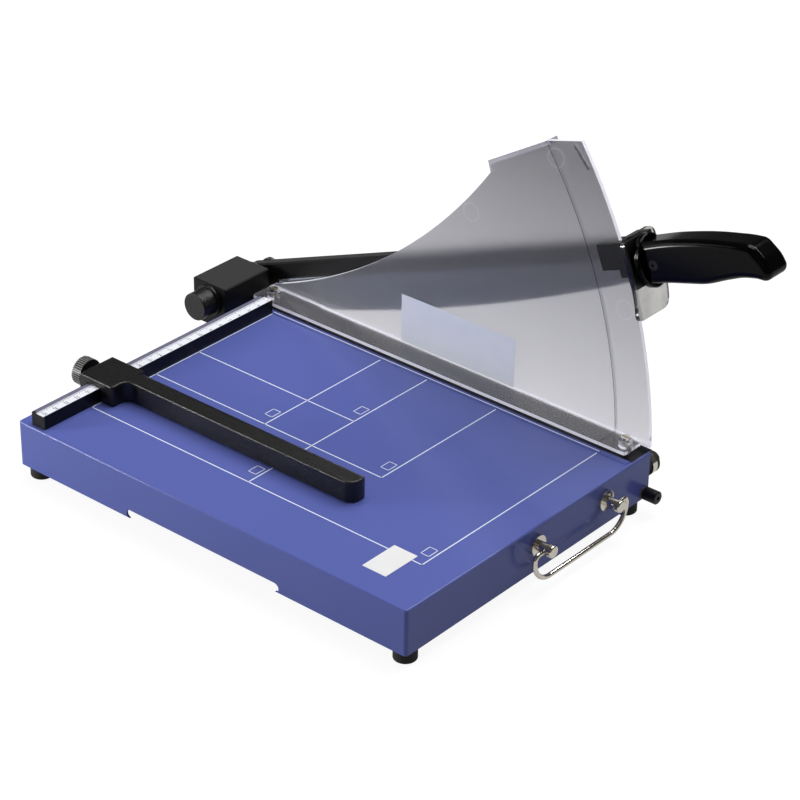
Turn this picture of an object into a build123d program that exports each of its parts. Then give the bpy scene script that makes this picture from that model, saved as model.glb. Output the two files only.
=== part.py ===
from build123d import *
from math import asin, atan2, cos, degrees, hypot, pi, radians, sin, sqrt
import os

os.makedirs("parts", exist_ok=True)

# Paper trimmer with a hinged blade arm. Millimetres, +Z up, resting on z = 0.
# X runs along the cut, from the pivot at the left to the handle at the right.
# Y runs from the user's side (low) to the blade side (high).

# Reference places: the ruler's fence face, the cutting edge and the table's top face.
fence_x = -174.0
cut_y = 119.0
foot_height = 10.0
skirt_height = 34.0
top_z = foot_height + skirt_height

# Fits shared by all pieces.
running_clearance = 0.1
slide_clearance = 0.3
thread_clearance = 0.05
overrun = 1.0
thin_film = 0.2

# Table: a folded tray of sheet steel.
table_length = 347.0
table_left_margin = 23.5
table_depth = 256.0
skirt_back_gap = 3.5
sheet = 1.5
corner_radius = 2.5
bend_radius = 1.4
flange_width = 20.0
notch_start = 75.5
notch_end = 225.5
notch_height = 6.3
notch_left_slant = 6.0
notch_right_slant = 11.5
notch_corner_radius = 3.0
channel_width = 30.0
channel_depth = 14.0
channel_sheet = 1.2
channel_front_share = 0.30
channel_rear_share = 0.66
table_left_x = fence_x - table_left_margin
table_right_x = table_left_x + table_length
table_mid_x = (table_left_x + table_right_x) / 2
table_front_y = cut_y - table_depth
skirt_back_y = cut_y - skirt_back_gap

# Feet: rubber buffers under the four corners.
foot_diameter = 16.0
foot_side_inset = 9.4
foot_front_inset = 10.6
foot_back_inset = 15.5
foot_edge_radius = 1.2
foot_bore_depth = 6.0
foot_bore_diameter = 10.0
foot_screw_diameter = 5.0
foot_screw_head = 9.0
foot_screw_head_height = 3.0
foot_nut_across_flats = 8.0
foot_nut_height = 4.0
spacer_width = 15.6
spacer_depth = 7.4
spacer_screw_bite = 8.0

# Bed bar and the fixed knife on its far face.
bed_strip_width = 22.6
bed_bar_height = 22.0
bed_seam = 0.4
knife_thickness = 3.0
knife_height = 18.0
knife_left_reach = 20.0
knife_screw_count = 6
knife_screw_left_margin = 40.0
knife_screw_right_margin = 27.0
knife_screw_drop = 11.0
knife_screw_diameter = 4.0
knife_screw_head = 7.6
knife_screw_length = 14.0
bar_front_y = cut_y - bed_strip_width + bed_seam
bar_back_y = cut_y - knife_thickness
bar_left_x = table_left_x + sheet
bar_right_x = table_right_x - sheet

# Stop for the closed arm, at the right end of the bed bar.
stop_inset = 7.5
stop_drop = 14.0
stop_diameter = 17.0
stop_washer_thickness = 4.8
stop_ring_thickness = 2.6
stop_bolt_diameter = 6.0
stop_head_diameter = 11.0
stop_head_height = 4.0
stop_bolt_grip = 11.0

# Ruler: a black rail with a white scale let into its top.
ruler_width = 12.5
ruler_height = 10.5
ruler_front_margin = 3.0
ruler_back_gap = 27.0
ruler_edge_chamfer = 0.8
scale_width = 7.6
scale_thickness = 0.5
scale_edge_margin = 0.5
ruler_screw_count = 3
ruler_screw_diameter = 4.0
ruler_screw_head = 7.5
ruler_screw_head_height = 2.4
ruler_screw_depth = 7.0
ruler_screw_end_share = 0.12

# Backgauge: a head that straddles the ruler and a long arm over the table.
gauge_distance = 185.5
gauge_float = 0.8
gauge_head_length = 31.4
gauge_head_left = 19.5
gauge_head_right = 12.5
gauge_head_height = 16.0
gauge_fit = 0.4
gauge_arm_reach = 218.5
gauge_arm_front_offset = 1.7
gauge_tip_radius = 7.5
gauge_edge_radius = 1.5
gauge_corner_radius = 2.0
gauge_neck_radius = 7.0
gauge_crown_radius = 7.0

# Backgauge clamping screw and its pressure shoe.
thumb_height = 6.2
thumb_diameter = 20.8
thumb_thickness = 8.0
thumb_gap = 6.5
thumb_groove_count = 40
thumb_groove_width = 0.85
thumb_groove_depth = 0.7
thumb_neck_diameter = 10.0
thumb_shank_diameter = 6.0
shoe_thickness = 2.0
shoe_diameter = 7.0
shoe_gap = 0.1

# Pivot block and the bearing inside it.
block_width = 32.5
block_length = 47.0
block_back_gap = 5.0
block_top = 20.0
block_bottom = 14.0
block_edge_chamfer = 0.8
pivot_offset_x = 39.3
pivot_offset_z = 7.0
shaft_diameter = 14.0
shaft_thread_diameter = 10.0
bush_outer_diameter = 20.0
bush_length = 13.0
bush_flange_diameter = 24.0
bush_flange_thickness = 1.5
spring_disc_outer = 18.0
spring_disc_thickness = 0.8
spring_disc_rise = 0.9
spring_disc_count = 2
nut_across_flats = 15.0
nut_thickness = 6.0
nut_protrusion = 1.5
cap_diameter = 21.2
cap_length = 16.0
cap_wall = 1.2
cap_face = 1.6
cap_ring_diameter = 24.0
cap_ring_length = 2.5
cap_edge_radius = 0.8
block_bolt_diameter = 6.0
block_bolt_head = 9.5
block_bolt_head_height = 4.0
block_bolt_drop = 8.0
block_bolt_reach = 9.0
block_bolt_back_inset = 8.0
block_bolt_spacing = 10.0
block_screw_inset = 9.0
block_screw_reach = 10.0
pivot_x = fence_x - pivot_offset_x
pivot_z = top_z + pivot_offset_z
block_back_y = cut_y - block_back_gap
block_front_y = block_back_y - block_length

# Blade arm. Its own lengths run along the arm from the pivot axis; heights are square to it.
arm_angle = radians(21.5)
blade_gap = 0.15
blade_thickness = 2.5
beam_thickness = 10.4
beam_top = 8.0
beam_bottom = 15.0
beam_tail = 16.0
beam_tail_radius = 7.0
beam_bevel = 1.2
hub_diameter = 16.0
thrust_washer_diameter = 20.0
thrust_washer_thickness = 1.0
tang_top = 4.0
tang_bottom = 14.0
tang_inset = 1.4
tang_length = 440.0
shaft_flange_diameter = 18.0
shaft_flange_thickness = 2.5

# Moving blade: a strip with a bowed cutting edge.
blade_start = 20.0
blade_end = 356.0
blade_top = 4.0
blade_heel = 26.0
blade_belly = 31.6
blade_tip = 19.6
blade_belly_share = 0.47
blade_bevel_height = 2.4
blade_bevel_depth = 1.5
blade_screw_count = 6
blade_screw_start = 40.0
blade_screw_end_margin = 36.0
blade_screw_height = 9.5
blade_screw_diameter = 4.0
blade_screw_head = 7.6
blade_screw_reach = 8.0

# Safety shield: a clear wall on a foot flange, sliding on two posts.
wall_front = 5.0
wall_back = 2.0
foot_front = 24.0
foot_gap = 3.5
foot_thickness = 2.5
foot_left_margin = 22.6
foot_right_end = 316.5
wall_left_start = 19.0
wall_left_height = 8.6
wall_mid_x = 82.0
wall_mid_height = 62.0
wall_neck_x = 181.0
wall_neck_height = 162.5
tab_start_x = 178.5
tab_start_height = 170.5
tab_end_x = 226.9
tab_end_height = 199.7
tab_thickness = 3.0
tab_reach = 10.0
tab_slant = 13.5
tab_right_radius = 7.0
tab_left_radius = 2.0
crown_start_x = 230.0
crown_start_height = 200.7
crown_end_x = 254.8
crown_end_height = 207.8
rim_clearance = 5.98
rim_mid_height = 121.5
rim_foot_x = 323.0
rim_foot_height = 6.7
crease_inset = 28.3
crease_width = 0.7
crease_depth = 0.5
latch_slot_length = 19.0
latch_slot_width = 2.2
latch_slot_x = 255.4
latch_slot_height = 196.6
latch_slot_tilt = -47.0
post_left_x = -9.0
post_right_x = 311.0
post_inset = 15.8
post_diameter = 4.0
post_head_diameter = 6.6
post_head_height = 2.2
post_slot_width = 1.0
post_slot_depth = 0.9
post_boss_diameter = 9.4
post_boss_height = 10.5
post_bore_depth = 10.0
post_spring_bore = 8.0
post_spring_bore_depth = 4.5
spring_wire = 0.7
spring_mean_diameter = 6.2
spring_turns = 4
shield_corner_radius = 2.0
label_left = 105.0
label_right = 207.0
label_bottom = 6.6
label_top = 44.2

# Handle end: yoke with its hook, hand guard, collar and grip.
hook_start = 341.0
hook_top = 10.0
hook_bottom = 8.0
hook_front = 10.0
cheek_start = 357.0
cheek_front = 13.0
cheek_top = 11.0
cheek_bottom = 13.0
cheek_gap = 6.2
back_cheek_reach = 15.0
back_cheek_bottom = 21.4
bridge_start = 363.6
yoke_edge_chamfer = 1.0
guard_start = 367.0
guard_thickness = 3.0
guard_near = 17.0
guard_far = 17.0
guard_top = 14.0
guard_bottom = 43.0
guard_corner_radius = 6.0
guard_flat_bottom = 18.0
guard_foot_bend = 4.5
collar_thickness = 5.0
handle_centre = 3.0
handle_mid_height = 6.5
collar_half_width = 15.0
collar_half_height = 18.5
collar_edge_chamfer = 0.8
grip_half_width = 12.0
grip_length = 99.6
grip_top = 9.2
grip_bottom = 24.9
grip_outline_shares = [
    (0.0, 0.967),
    (0.218, 1.0),
    (0.504, 0.967),
    (0.781, 0.855),
    (0.881, 0.782),
    (0.959, 0.453),
    (1.0, 0.0),
    (0.860, 0.133),
    (0.752, 0.170),
    (0.613, 0.133),
    (0.455, 0.067),
    (0.149, 0.137),
    (0.0, 0.143),
]
grip_corner_shares = [0.02, 6.5, 7.5, 2.5, 0.25, 0.6, 0.16, 0.6, 1.3, 4.0, 1.8, 4.0, 0.02]
grip_edge_radius = 5.0
grip_fit = 0.2
grip_screw_offset = 8.0
grip_screw_diameter = 4.0
grip_screw_head = 7.0
grip_screw_head_height = 1.8
grip_screw_recess = 2.0
grip_screw_bite = 6.0

# Carrying handle on the right skirt.
carry_near_share = 0.4984
carry_far_share = 0.2141
carry_drop = 13.0
carry_standoff = 9.5
carry_washer_diameter = 14.5
carry_washer_thickness = 3.0
carry_stud_diameter = 6.0
carry_stem_diameter = 7.6
carry_cap_diameter = 8.8
carry_cap_length = 3.4
carry_cap_radius = 1.2
carry_cap_wall = 0.6
carry_nut_across_flats = 10.0
carry_nut_thickness = 5.0
bail_wire = 3.4
bail_side_reach = 12.6
bail_drop = 21.4
bail_bend_radius = 16.5
bail_corner_radius = 4.0
bail_tip_show = 1.0

# Arm lock at the right end of the table.
lock_inset = 8.2
lock_drop = 29.4
lock_knob_diameter = 9.4
lock_knob_length = 10.5
lock_knob_chamfer = 0.6
lock_knob_seat = 5.0
lock_knob_hole = 3.0
lock_knob_hole_depth = 4.0
lock_pin_diameter = 4.0
lock_pin_tail = 6.0
lock_bush_diameter = 6.0
lock_bush_flange = 8.6
lock_bush_flange_thickness = 1.2
lock_bush_length = 4.0
lock_collar_diameter = 6.0
lock_collar_length = 2.0
lock_spring_wire = 0.6
lock_spring_mean_diameter = 5.2
lock_spring_turns = 5
lock_bracket_thickness = 2.0
lock_bracket_width = 9.0
lock_bracket_height = 9.0
lock_bracket_inset = 17.7

# Blank label on the table's near right corner.
table_label_right_margin = 34.7
table_label_width = 19.4
table_label_front_margin = 20.7
table_label_depth = 31.0


def upright(y):
    """Plane across the table at depth y: sketch axes X and Z, extruding towards the user."""
    return Plane(origin=(0, y, 0), x_dir=(1, 0, 0), z_dir=(0, -1, 0))


def along_arm(y):
    """The same plane with its origin on the pivot axis, turned with the arm."""
    return Plane(origin=(pivot_x, y, pivot_z), x_dir=(cos(arm_angle), 0, sin(arm_angle)), z_dir=(0, -1, 0))


def across_arm(u):
    """Plane square to the arm at distance u: sketch axes are Y and the arm's height."""
    origin = (pivot_x + u * cos(arm_angle), 0, pivot_z + u * sin(arm_angle))
    return Plane(origin=origin, x_dir=(0, 1, 0), z_dir=(cos(arm_angle), 0, sin(arm_angle)))


def save(piece, label):
    """Name one finished piece and write its file."""
    piece.part.label = label
    export_step(piece.part, f"parts/{label}.step")


def row(count, spacing, start):
    """Evenly spaced places, from the first one."""
    return [start + i * spacing for i in range(count)]


def cap_screw(diameter, length, head_diameter, head_height):
    """Socket screw pointing down, the underside of its head at the origin."""
    with BuildPart() as screw:
        Cylinder(diameter / 2, length, align=(Align.CENTER, Align.CENTER, Align.MAX))
        Cylinder(head_diameter / 2, head_height, align=(Align.CENTER, Align.CENTER, Align.MIN))
        with BuildSketch(Plane.XY.offset(head_height)):
            RegularPolygon(head_diameter / 4, 6)
        extrude(amount=-head_height / 2, mode=Mode.SUBTRACT)
    return screw.part


def flat_screw(diameter, length, head_diameter):
    """Countersunk screw pointing down, the flat of its head at the origin."""
    head_height = (head_diameter - diameter) / 2
    with BuildPart() as screw:
        with BuildSketch(Plane.XZ):
            with BuildLine():
                Polyline(
                    (0, 0),
                    (head_diameter / 2, 0),
                    (diameter / 2, -head_height),
                    (diameter / 2, -length),
                    (0, -length),
                    close=True,
                )
            make_face()
        revolve(axis=Axis.Z)
        with BuildSketch(Plane.XY):
            RegularPolygon(head_diameter / 5, 6)
        extrude(amount=-head_height / 2, mode=Mode.SUBTRACT)
    return screw.part


def coil(wire, mean_diameter, turns, length, base):
    """Compression spring on the plane named base: one tube of quarter turn arcs."""
    pitch = (length - wire) / turns
    quarter = pi / 2

    def place(step):
        angle = step * quarter
        rise = wire / 2 + pitch * step / 4
        return (mean_diameter / 2 * cos(angle), mean_diameter / 2 * sin(angle), rise)

    with BuildPart() as spring:
        with BuildLine(base) as path:
            for step in range(4 * turns):
                ThreePointArc(place(step), place(step + 0.5), place(step + 1))
        with BuildSketch(Plane(path.line @ 0, z_dir=path.line % 0)):
            Circle(wire / 2)
        sweep()
    print("spring gap between turns", round(pitch - wire, 2))
    return spring


# Table top: a folded tray with skirts on three sides, foot flanges and a finger notch.
feet = {
    "foot_front_left": (table_left_x + foot_side_inset, table_front_y + foot_front_inset),
    "foot_front_right": (table_right_x - foot_side_inset, table_front_y + foot_front_inset),
    "foot_rear_left": (table_left_x + foot_side_inset, cut_y - foot_back_inset),
    "foot_rear_right": (table_right_x - foot_side_inset, cut_y - foot_back_inset),
}
ruler_front_y = table_front_y + ruler_front_margin
ruler_back_y = cut_y - ruler_back_gap
ruler_length = ruler_back_y - ruler_front_y
ruler_mid_x = fence_x - ruler_width / 2
ruler_screw_end = ruler_length * ruler_screw_end_share
ruler_screw_step = (ruler_length - 2 * ruler_screw_end) / (ruler_screw_count - 1)
ruler_screw_places = [
    (ruler_mid_x, y) for y in row(ruler_screw_count, ruler_screw_step, ruler_front_y + ruler_screw_end)
]
carry_near_y = cut_y - table_depth * carry_near_share
carry_far_y = cut_y - table_depth * carry_far_share
carry_places = [(carry_near_y, top_z - carry_drop), (carry_far_y, top_z - carry_drop)]
lock_place = (cut_y - lock_inset, top_z - lock_drop)
block_bolt_z = top_z - block_bolt_drop
block_bolt_places = [
    (y, block_bolt_z) for y in row(2, -block_bolt_spacing, cut_y - block_bolt_back_inset)
]
block_screw_place = (block_front_y + block_screw_inset, block_bolt_z)
with BuildPart() as table_top:
    with BuildSketch(Plane.XY.offset(foot_height)) as footprint:
        with Locations((table_mid_x, table_front_y)):
            Rectangle(table_length, skirt_back_y - table_front_y, align=(Align.CENTER, Align.MIN))
        fillet(footprint.vertices().group_by(Axis.Y)[0], corner_radius)
    extrude(amount=skirt_height)
    fillet(table_top.edges().group_by(Axis.Z)[-1].sort_by(Axis.Y)[:-1], bend_radius)
    with BuildSketch(Plane.XY.offset(foot_height)):
        with Locations((table_mid_x, table_front_y + sheet)):
            Rectangle(table_length - 2 * sheet, table_depth, align=(Align.CENTER, Align.MIN))
    extrude(amount=skirt_height - sheet, mode=Mode.SUBTRACT)
    with BuildSketch(Plane.XY.offset(top_z)):
        with Locations((table_mid_x, cut_y - bed_strip_width)):
            Rectangle(table_length - 2 * sheet, bed_strip_width, align=(Align.CENTER, Align.MIN))
    extrude(amount=-2 * sheet, mode=Mode.SUBTRACT)
    with BuildSketch(Plane.XY.offset(foot_height)):
        with Locations((table_left_x + sheet, table_front_y + sheet)):
            Rectangle(
                flange_width - sheet, skirt_back_y - table_front_y - sheet, align=(Align.MIN, Align.MIN)
            )
        with Locations((table_right_x - sheet, table_front_y + sheet)):
            Rectangle(
                flange_width - sheet, skirt_back_y - table_front_y - sheet, align=(Align.MAX, Align.MIN)
            )
    extrude(amount=sheet)
    with BuildSketch(upright(table_front_y + sheet)) as notch:
        with BuildLine():
            Polyline(
                (fence_x + notch_start, foot_height),
                (fence_x + notch_start + notch_left_slant, foot_height + notch_height),
                (fence_x + notch_end - notch_right_slant, foot_height + notch_height),
                (fence_x + notch_end, foot_height),
                close=True,
            )
        make_face()
        fillet(notch.vertices().group_by(Axis.Z)[-1], notch_corner_radius)
    extrude(amount=sheet, mode=Mode.SUBTRACT)
    with BuildSketch(Plane.XY.offset(top_z)):
        with Locations(*ruler_screw_places):
            Circle(ruler_screw_diameter / 2 + running_clearance)
    extrude(amount=-sheet, mode=Mode.SUBTRACT)
    with BuildSketch(Plane.XY.offset(foot_height)):
        with Locations(*feet.values()):
            Circle(foot_screw_diameter / 2 + running_clearance)
    extrude(amount=sheet, mode=Mode.SUBTRACT)
    with BuildSketch(Plane.YZ.offset(table_right_x)):
        with Locations(*carry_places):
            Circle(carry_stud_diameter / 2 + running_clearance)
        with Locations(lock_place):
            Circle(lock_bush_diameter / 2 + thread_clearance)
    extrude(amount=-sheet, mode=Mode.SUBTRACT)
    with BuildSketch(Plane.YZ.offset(table_left_x)):
        with Locations(*block_bolt_places, block_screw_place):
            Circle(block_bolt_diameter / 2 + running_clearance)
    extrude(amount=sheet, mode=Mode.SUBTRACT)
save(table_top, "table_top")

# Stiffening channels: two folded strips welded under the tray.
channel_places = {
    "front_channel": table_front_y + table_depth * channel_front_share,
    "rear_channel": table_front_y + table_depth * channel_rear_share,
}
for label, y in channel_places.items():
    with BuildPart() as channel:
        with BuildSketch(Plane.YZ.offset(table_left_x + sheet)):
            with Locations((y, top_z - sheet)):
                Rectangle(channel_width, channel_depth, align=(Align.CENTER, Align.MAX))
            with Locations((y, top_z - sheet - channel_sheet)):
                Rectangle(
                    channel_width - 2 * channel_sheet,
                    channel_depth,
                    align=(Align.CENTER, Align.MAX),
                    mode=Mode.SUBTRACT,
                )
        extrude(amount=table_length - 2 * sheet)
    save(channel, label)

# Feet, with their screws, nuts and the spacers that carry the bed bar.
for label, place in feet.items():
    with BuildPart() as foot:
        with BuildSketch(Plane.XY):
            with Locations(place):
                Circle(foot_diameter / 2)
        extrude(amount=foot_height)
        fillet(foot.edges().group_by(Axis.Z)[0], foot_edge_radius)
        with BuildSketch(Plane.XY):
            with Locations(place):
                Circle(foot_bore_diameter / 2)
        extrude(amount=foot_bore_depth, mode=Mode.SUBTRACT)
        with BuildSketch(Plane.XY.offset(foot_bore_depth)):
            with Locations(place):
                Circle(foot_screw_diameter / 2 + running_clearance)
        extrude(amount=foot_height, mode=Mode.SUBTRACT)
    save(foot, label)

front_places = [feet["foot_front_left"], feet["foot_front_right"]]
rear_places = [feet["foot_rear_left"], feet["foot_rear_right"]]
foot_grip = foot_height - foot_bore_depth + sheet
front_foot_screw = cap_screw(
    foot_screw_diameter, foot_grip + foot_nut_height, foot_screw_head, foot_screw_head_height
)
bed_bar_bottom_z = top_z - bed_bar_height
rear_foot_screw = cap_screw(
    foot_screw_diameter,
    bed_bar_bottom_z - foot_bore_depth + spacer_screw_bite,
    foot_screw_head,
    foot_screw_head_height,
)
with BuildPart() as foot_screws:
    with Locations(*[Plane((x, y, foot_bore_depth), z_dir=(0, 0, -1)) for x, y in front_places]):
        add(front_foot_screw)
    with Locations(*[Plane((x, y, foot_bore_depth), z_dir=(0, 0, -1)) for x, y in rear_places]):
        add(rear_foot_screw)
save(foot_screws, "foot_screws")

with BuildPart() as foot_nuts:
    with BuildSketch(Plane.XY.offset(foot_height + sheet)):
        with Locations(*front_places):
            RegularPolygon(foot_nut_across_flats / 2, 6, major_radius=False)
            Circle(foot_screw_diameter / 2 + thread_clearance, mode=Mode.SUBTRACT)
    extrude(amount=foot_nut_height)
save(foot_nuts, "foot_nuts")

with BuildPart() as bed_bar_spacers:
    with BuildSketch(Plane.XY.offset(foot_height + sheet)):
        with Locations(*rear_places):
            Rectangle(spacer_width, spacer_depth)
            Circle(foot_screw_diameter / 2 + running_clearance, mode=Mode.SUBTRACT)
    extrude(amount=bed_bar_bottom_z - foot_height - sheet)
save(bed_bar_spacers, "bed_bar_spacers")

# Bed bar: the heavy bar under the cut.
post_y = cut_y - post_inset
post_places = [(fence_x + post_left_x, post_y), (fence_x + post_right_x, post_y)]
knife_left_x = fence_x - knife_left_reach
knife_screw_z = top_z - knife_screw_drop
knife_screw_start = knife_left_x + knife_screw_left_margin
knife_screw_run = bar_right_x - knife_screw_right_margin - knife_screw_start
knife_screw_spacing = knife_screw_run / (knife_screw_count - 1)
knife_screw_places = [
    (x, knife_screw_z) for x in row(knife_screw_count, knife_screw_spacing, knife_screw_start)
]
stop_place = (table_right_x - stop_inset, top_z - stop_drop)
with BuildPart() as bed_bar:
    with BuildSketch(Plane.XY.offset(top_z)):
        with Locations((bar_left_x, bar_front_y)):
            Rectangle(bar_right_x - bar_left_x, bar_back_y - bar_front_y, align=(Align.MIN, Align.MIN))
    extrude(amount=-bed_bar_height)
    with BuildSketch(Plane.XY.offset(top_z)):
        with Locations(*post_places):
            Circle(post_diameter / 2 + thread_clearance)
    extrude(amount=-post_bore_depth, mode=Mode.SUBTRACT)
    with BuildSketch(Plane.XY.offset(bed_bar_bottom_z)):
        with Locations(*rear_places):
            Circle(foot_screw_diameter / 2 + thread_clearance)
    extrude(amount=spacer_screw_bite, mode=Mode.SUBTRACT)
    with BuildSketch(upright(bar_back_y)):
        with Locations(*knife_screw_places):
            Circle(knife_screw_diameter / 2 + thread_clearance)
    extrude(amount=knife_screw_length - knife_thickness, mode=Mode.SUBTRACT)
    with BuildSketch(upright(bar_back_y)):
        with Locations(stop_place):
            Circle(stop_bolt_diameter / 2 + thread_clearance)
    extrude(amount=stop_bolt_grip - knife_thickness, mode=Mode.SUBTRACT)
    with BuildSketch(Plane.YZ.offset(bar_left_x)):
        with Locations(*block_bolt_places):
            Circle(block_bolt_diameter / 2 + thread_clearance)
    extrude(amount=block_bolt_reach, mode=Mode.SUBTRACT)
save(bed_bar, "bed_bar")

# Fixed knife: a strip screwed to the far face of the bed bar.
with BuildPart() as bed_knife:
    with BuildSketch(upright(cut_y)):
        with Locations((knife_left_x, top_z)):
            Rectangle(bar_right_x - knife_left_x, knife_height, align=(Align.MIN, Align.MAX))
        with Locations(stop_place):
            Circle(stop_bolt_diameter / 2 + running_clearance, mode=Mode.SUBTRACT)
    extrude(amount=knife_thickness)
    with Locations(*[Plane((x, cut_y, z), z_dir=(0, 1, 0)) for x, z in knife_screw_places]):
        CounterSinkHole(
            knife_screw_diameter / 2 + running_clearance,
            knife_screw_head / 2 + running_clearance,
            depth=knife_thickness,
            counter_sink_angle=90,
        )
save(bed_knife, "bed_knife")

knife_screw = flat_screw(knife_screw_diameter, knife_screw_length, knife_screw_head)
with BuildPart() as bed_knife_screws:
    with Locations(*[Plane((x, cut_y, z), z_dir=(0, 1, 0)) for x, z in knife_screw_places]):
        add(knife_screw)
save(bed_knife_screws, "bed_knife_screws")

# Stop for the closed arm: a nickel washer, a rubber ring and the bolt that holds them.
stop_washer_y = cut_y + stop_washer_thickness
stop_ring_y = stop_washer_y + stop_ring_thickness
with BuildPart() as stop_washer:
    with BuildSketch(upright(stop_washer_y)):
        with Locations(stop_place):
            Circle(stop_diameter / 2)
            Circle(stop_bolt_diameter / 2 + running_clearance, mode=Mode.SUBTRACT)
    extrude(amount=stop_washer_thickness)
save(stop_washer, "stop_washer")

with BuildPart() as stop_ring:
    with BuildSketch(upright(stop_ring_y)):
        with Locations(stop_place):
            Circle(stop_diameter / 2)
            Circle(stop_bolt_diameter / 2 + running_clearance, mode=Mode.SUBTRACT)
    extrude(amount=stop_ring_thickness)
save(stop_ring, "stop_ring")

stop_screw = cap_screw(
    stop_bolt_diameter, stop_bolt_grip + stop_ring_y - cut_y, stop_head_diameter, stop_head_height
)
with BuildPart() as stop_bolt:
    with Locations(Plane((stop_place[0], stop_ring_y, stop_place[1]), z_dir=(0, 1, 0))):
        add(stop_screw)
save(stop_bolt, "stop_bolt")

# Ruler rail, its scale and the screws that hold it from below.
with BuildPart() as ruler_rail:
    with BuildSketch(Plane.XY.offset(top_z)):
        with Locations((fence_x, ruler_front_y)):
            Rectangle(ruler_width, ruler_length, align=(Align.MAX, Align.MIN))
    extrude(amount=ruler_height)
    chamfer(ruler_rail.edges().filter_by(Axis.Y).group_by(Axis.Z)[-1].sort_by(Axis.X)[0], ruler_edge_chamfer)
    with BuildSketch(Plane.XY.offset(top_z + ruler_height)):
        with Locations((fence_x - scale_edge_margin, ruler_front_y)):
            Rectangle(scale_width, ruler_length, align=(Align.MAX, Align.MIN))
    extrude(amount=-scale_thickness, mode=Mode.SUBTRACT)
    with BuildSketch(Plane.XY.offset(top_z)):
        with Locations(*ruler_screw_places):
            Circle(ruler_screw_diameter / 2 + thread_clearance)
    extrude(amount=ruler_screw_depth, mode=Mode.SUBTRACT)
save(ruler_rail, "ruler_rail")

with BuildPart() as ruler_scale:
    with BuildSketch(Plane.XY.offset(top_z + ruler_height)):
        with Locations((fence_x - scale_edge_margin, ruler_front_y)):
            Rectangle(scale_width, ruler_length, align=(Align.MAX, Align.MIN))
    extrude(amount=-scale_thickness)
save(ruler_scale, "ruler_scale")

ruler_screw = cap_screw(
    ruler_screw_diameter, sheet + ruler_screw_depth, ruler_screw_head, ruler_screw_head_height
)
with BuildPart() as ruler_screws:
    with Locations(*[Plane((x, y, top_z - sheet), z_dir=(0, 0, -1)) for x, y in ruler_screw_places]):
        add(ruler_screw)
save(ruler_screws, "ruler_screws")

# Blank label on the table's near right corner.
table_label_place = (table_right_x - table_label_right_margin, table_front_y + table_label_front_margin)
with BuildPart() as table_label:
    with BuildSketch(Plane.XY.offset(top_z)):
        with Locations(table_label_place):
            Rectangle(table_label_width, table_label_depth, align=(Align.MAX, Align.MIN))
    extrude(amount=thin_film)
save(table_label, "table_label")

# Backgauge: one moulding, its head straddling the ruler and its arm over the table.
gauge_mid_y = cut_y - gauge_distance
gauge_bottom_z = top_z + gauge_float
gauge_head_left_x = fence_x - gauge_head_left
gauge_head_right_x = fence_x + gauge_head_right
gauge_arm_front_y = gauge_mid_y - gauge_arm_front_offset
gauge_arm_width = gauge_head_length / 2 + gauge_arm_front_offset
gauge_arm_back_y = gauge_arm_front_y + gauge_arm_width
gauge_channel_left_x = fence_x - ruler_width - gauge_fit
thumb_z = top_z + thumb_height
shoe_right_x = fence_x - ruler_width - shoe_gap
with BuildPart() as backgauge:
    with BuildSketch(Plane.XY.offset(gauge_bottom_z)) as outline:
        with Locations((gauge_head_left_x, gauge_mid_y)):
            Rectangle(
                gauge_head_right_x - gauge_head_left_x,
                gauge_head_length,
                align=(Align.MIN, Align.CENTER),
            )
        with Locations((fence_x, gauge_arm_front_y)):
            Rectangle(gauge_arm_reach, gauge_arm_width, align=(Align.MIN, Align.MIN))
        fillet(outline.vertices().group_by(Axis.X)[-1], gauge_tip_radius)
        near_corners = outline.vertices().group_by(Axis.Y)[0]
        fillet(near_corners.sort_by(Axis.X)[-1], gauge_corner_radius)
        neck = (gauge_head_right_x, gauge_arm_front_y, gauge_bottom_z)
        fillet(outline.vertices().sort_by_distance(neck)[0], gauge_neck_radius)
    extrude(amount=gauge_head_height - gauge_float)
    fillet(backgauge.edges().group_by(Axis.Z)[-1], gauge_edge_radius)
    with BuildSketch(Plane.YZ.offset(gauge_head_right_x)):
        with BuildLine():
            crown = CenterArc(
                (gauge_arm_back_y - gauge_crown_radius, top_z + gauge_head_height - gauge_crown_radius),
                gauge_crown_radius,
                0,
                90,
            )
            Polyline(crown @ 1, (gauge_arm_back_y, top_z + gauge_head_height), crown @ 0)
        make_face()
    extrude(amount=gauge_arm_reach, mode=Mode.SUBTRACT)
    with BuildSketch(Plane.XY.offset(gauge_bottom_z)):
        with Locations((gauge_channel_left_x, gauge_mid_y)):
            Rectangle(
                ruler_width + 2 * gauge_fit,
                gauge_head_length + gauge_arm_width,
                align=(Align.MIN, Align.CENTER),
            )
    extrude(amount=ruler_height + gauge_fit - gauge_float, mode=Mode.SUBTRACT)
    with BuildSketch(Plane.YZ.offset(gauge_head_left_x)):
        with Locations((gauge_mid_y, thumb_z)):
            Circle(thumb_shank_diameter / 2 + running_clearance)
    extrude(amount=gauge_channel_left_x - gauge_head_left_x, mode=Mode.SUBTRACT)
    with BuildSketch(Plane.YZ.offset(gauge_channel_left_x)):
        with Locations((gauge_mid_y, thumb_z)):
            Circle(shoe_diameter / 2 + running_clearance)
    extrude(amount=-shoe_thickness, mode=Mode.SUBTRACT)
save(backgauge, "backgauge")

with BuildPart() as pressure_shoe:
    with BuildSketch(Plane.YZ.offset(shoe_right_x)):
        with Locations((gauge_mid_y, thumb_z)):
            Circle(shoe_diameter / 2)
    extrude(amount=-shoe_thickness)
save(pressure_shoe, "pressure_shoe")

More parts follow.
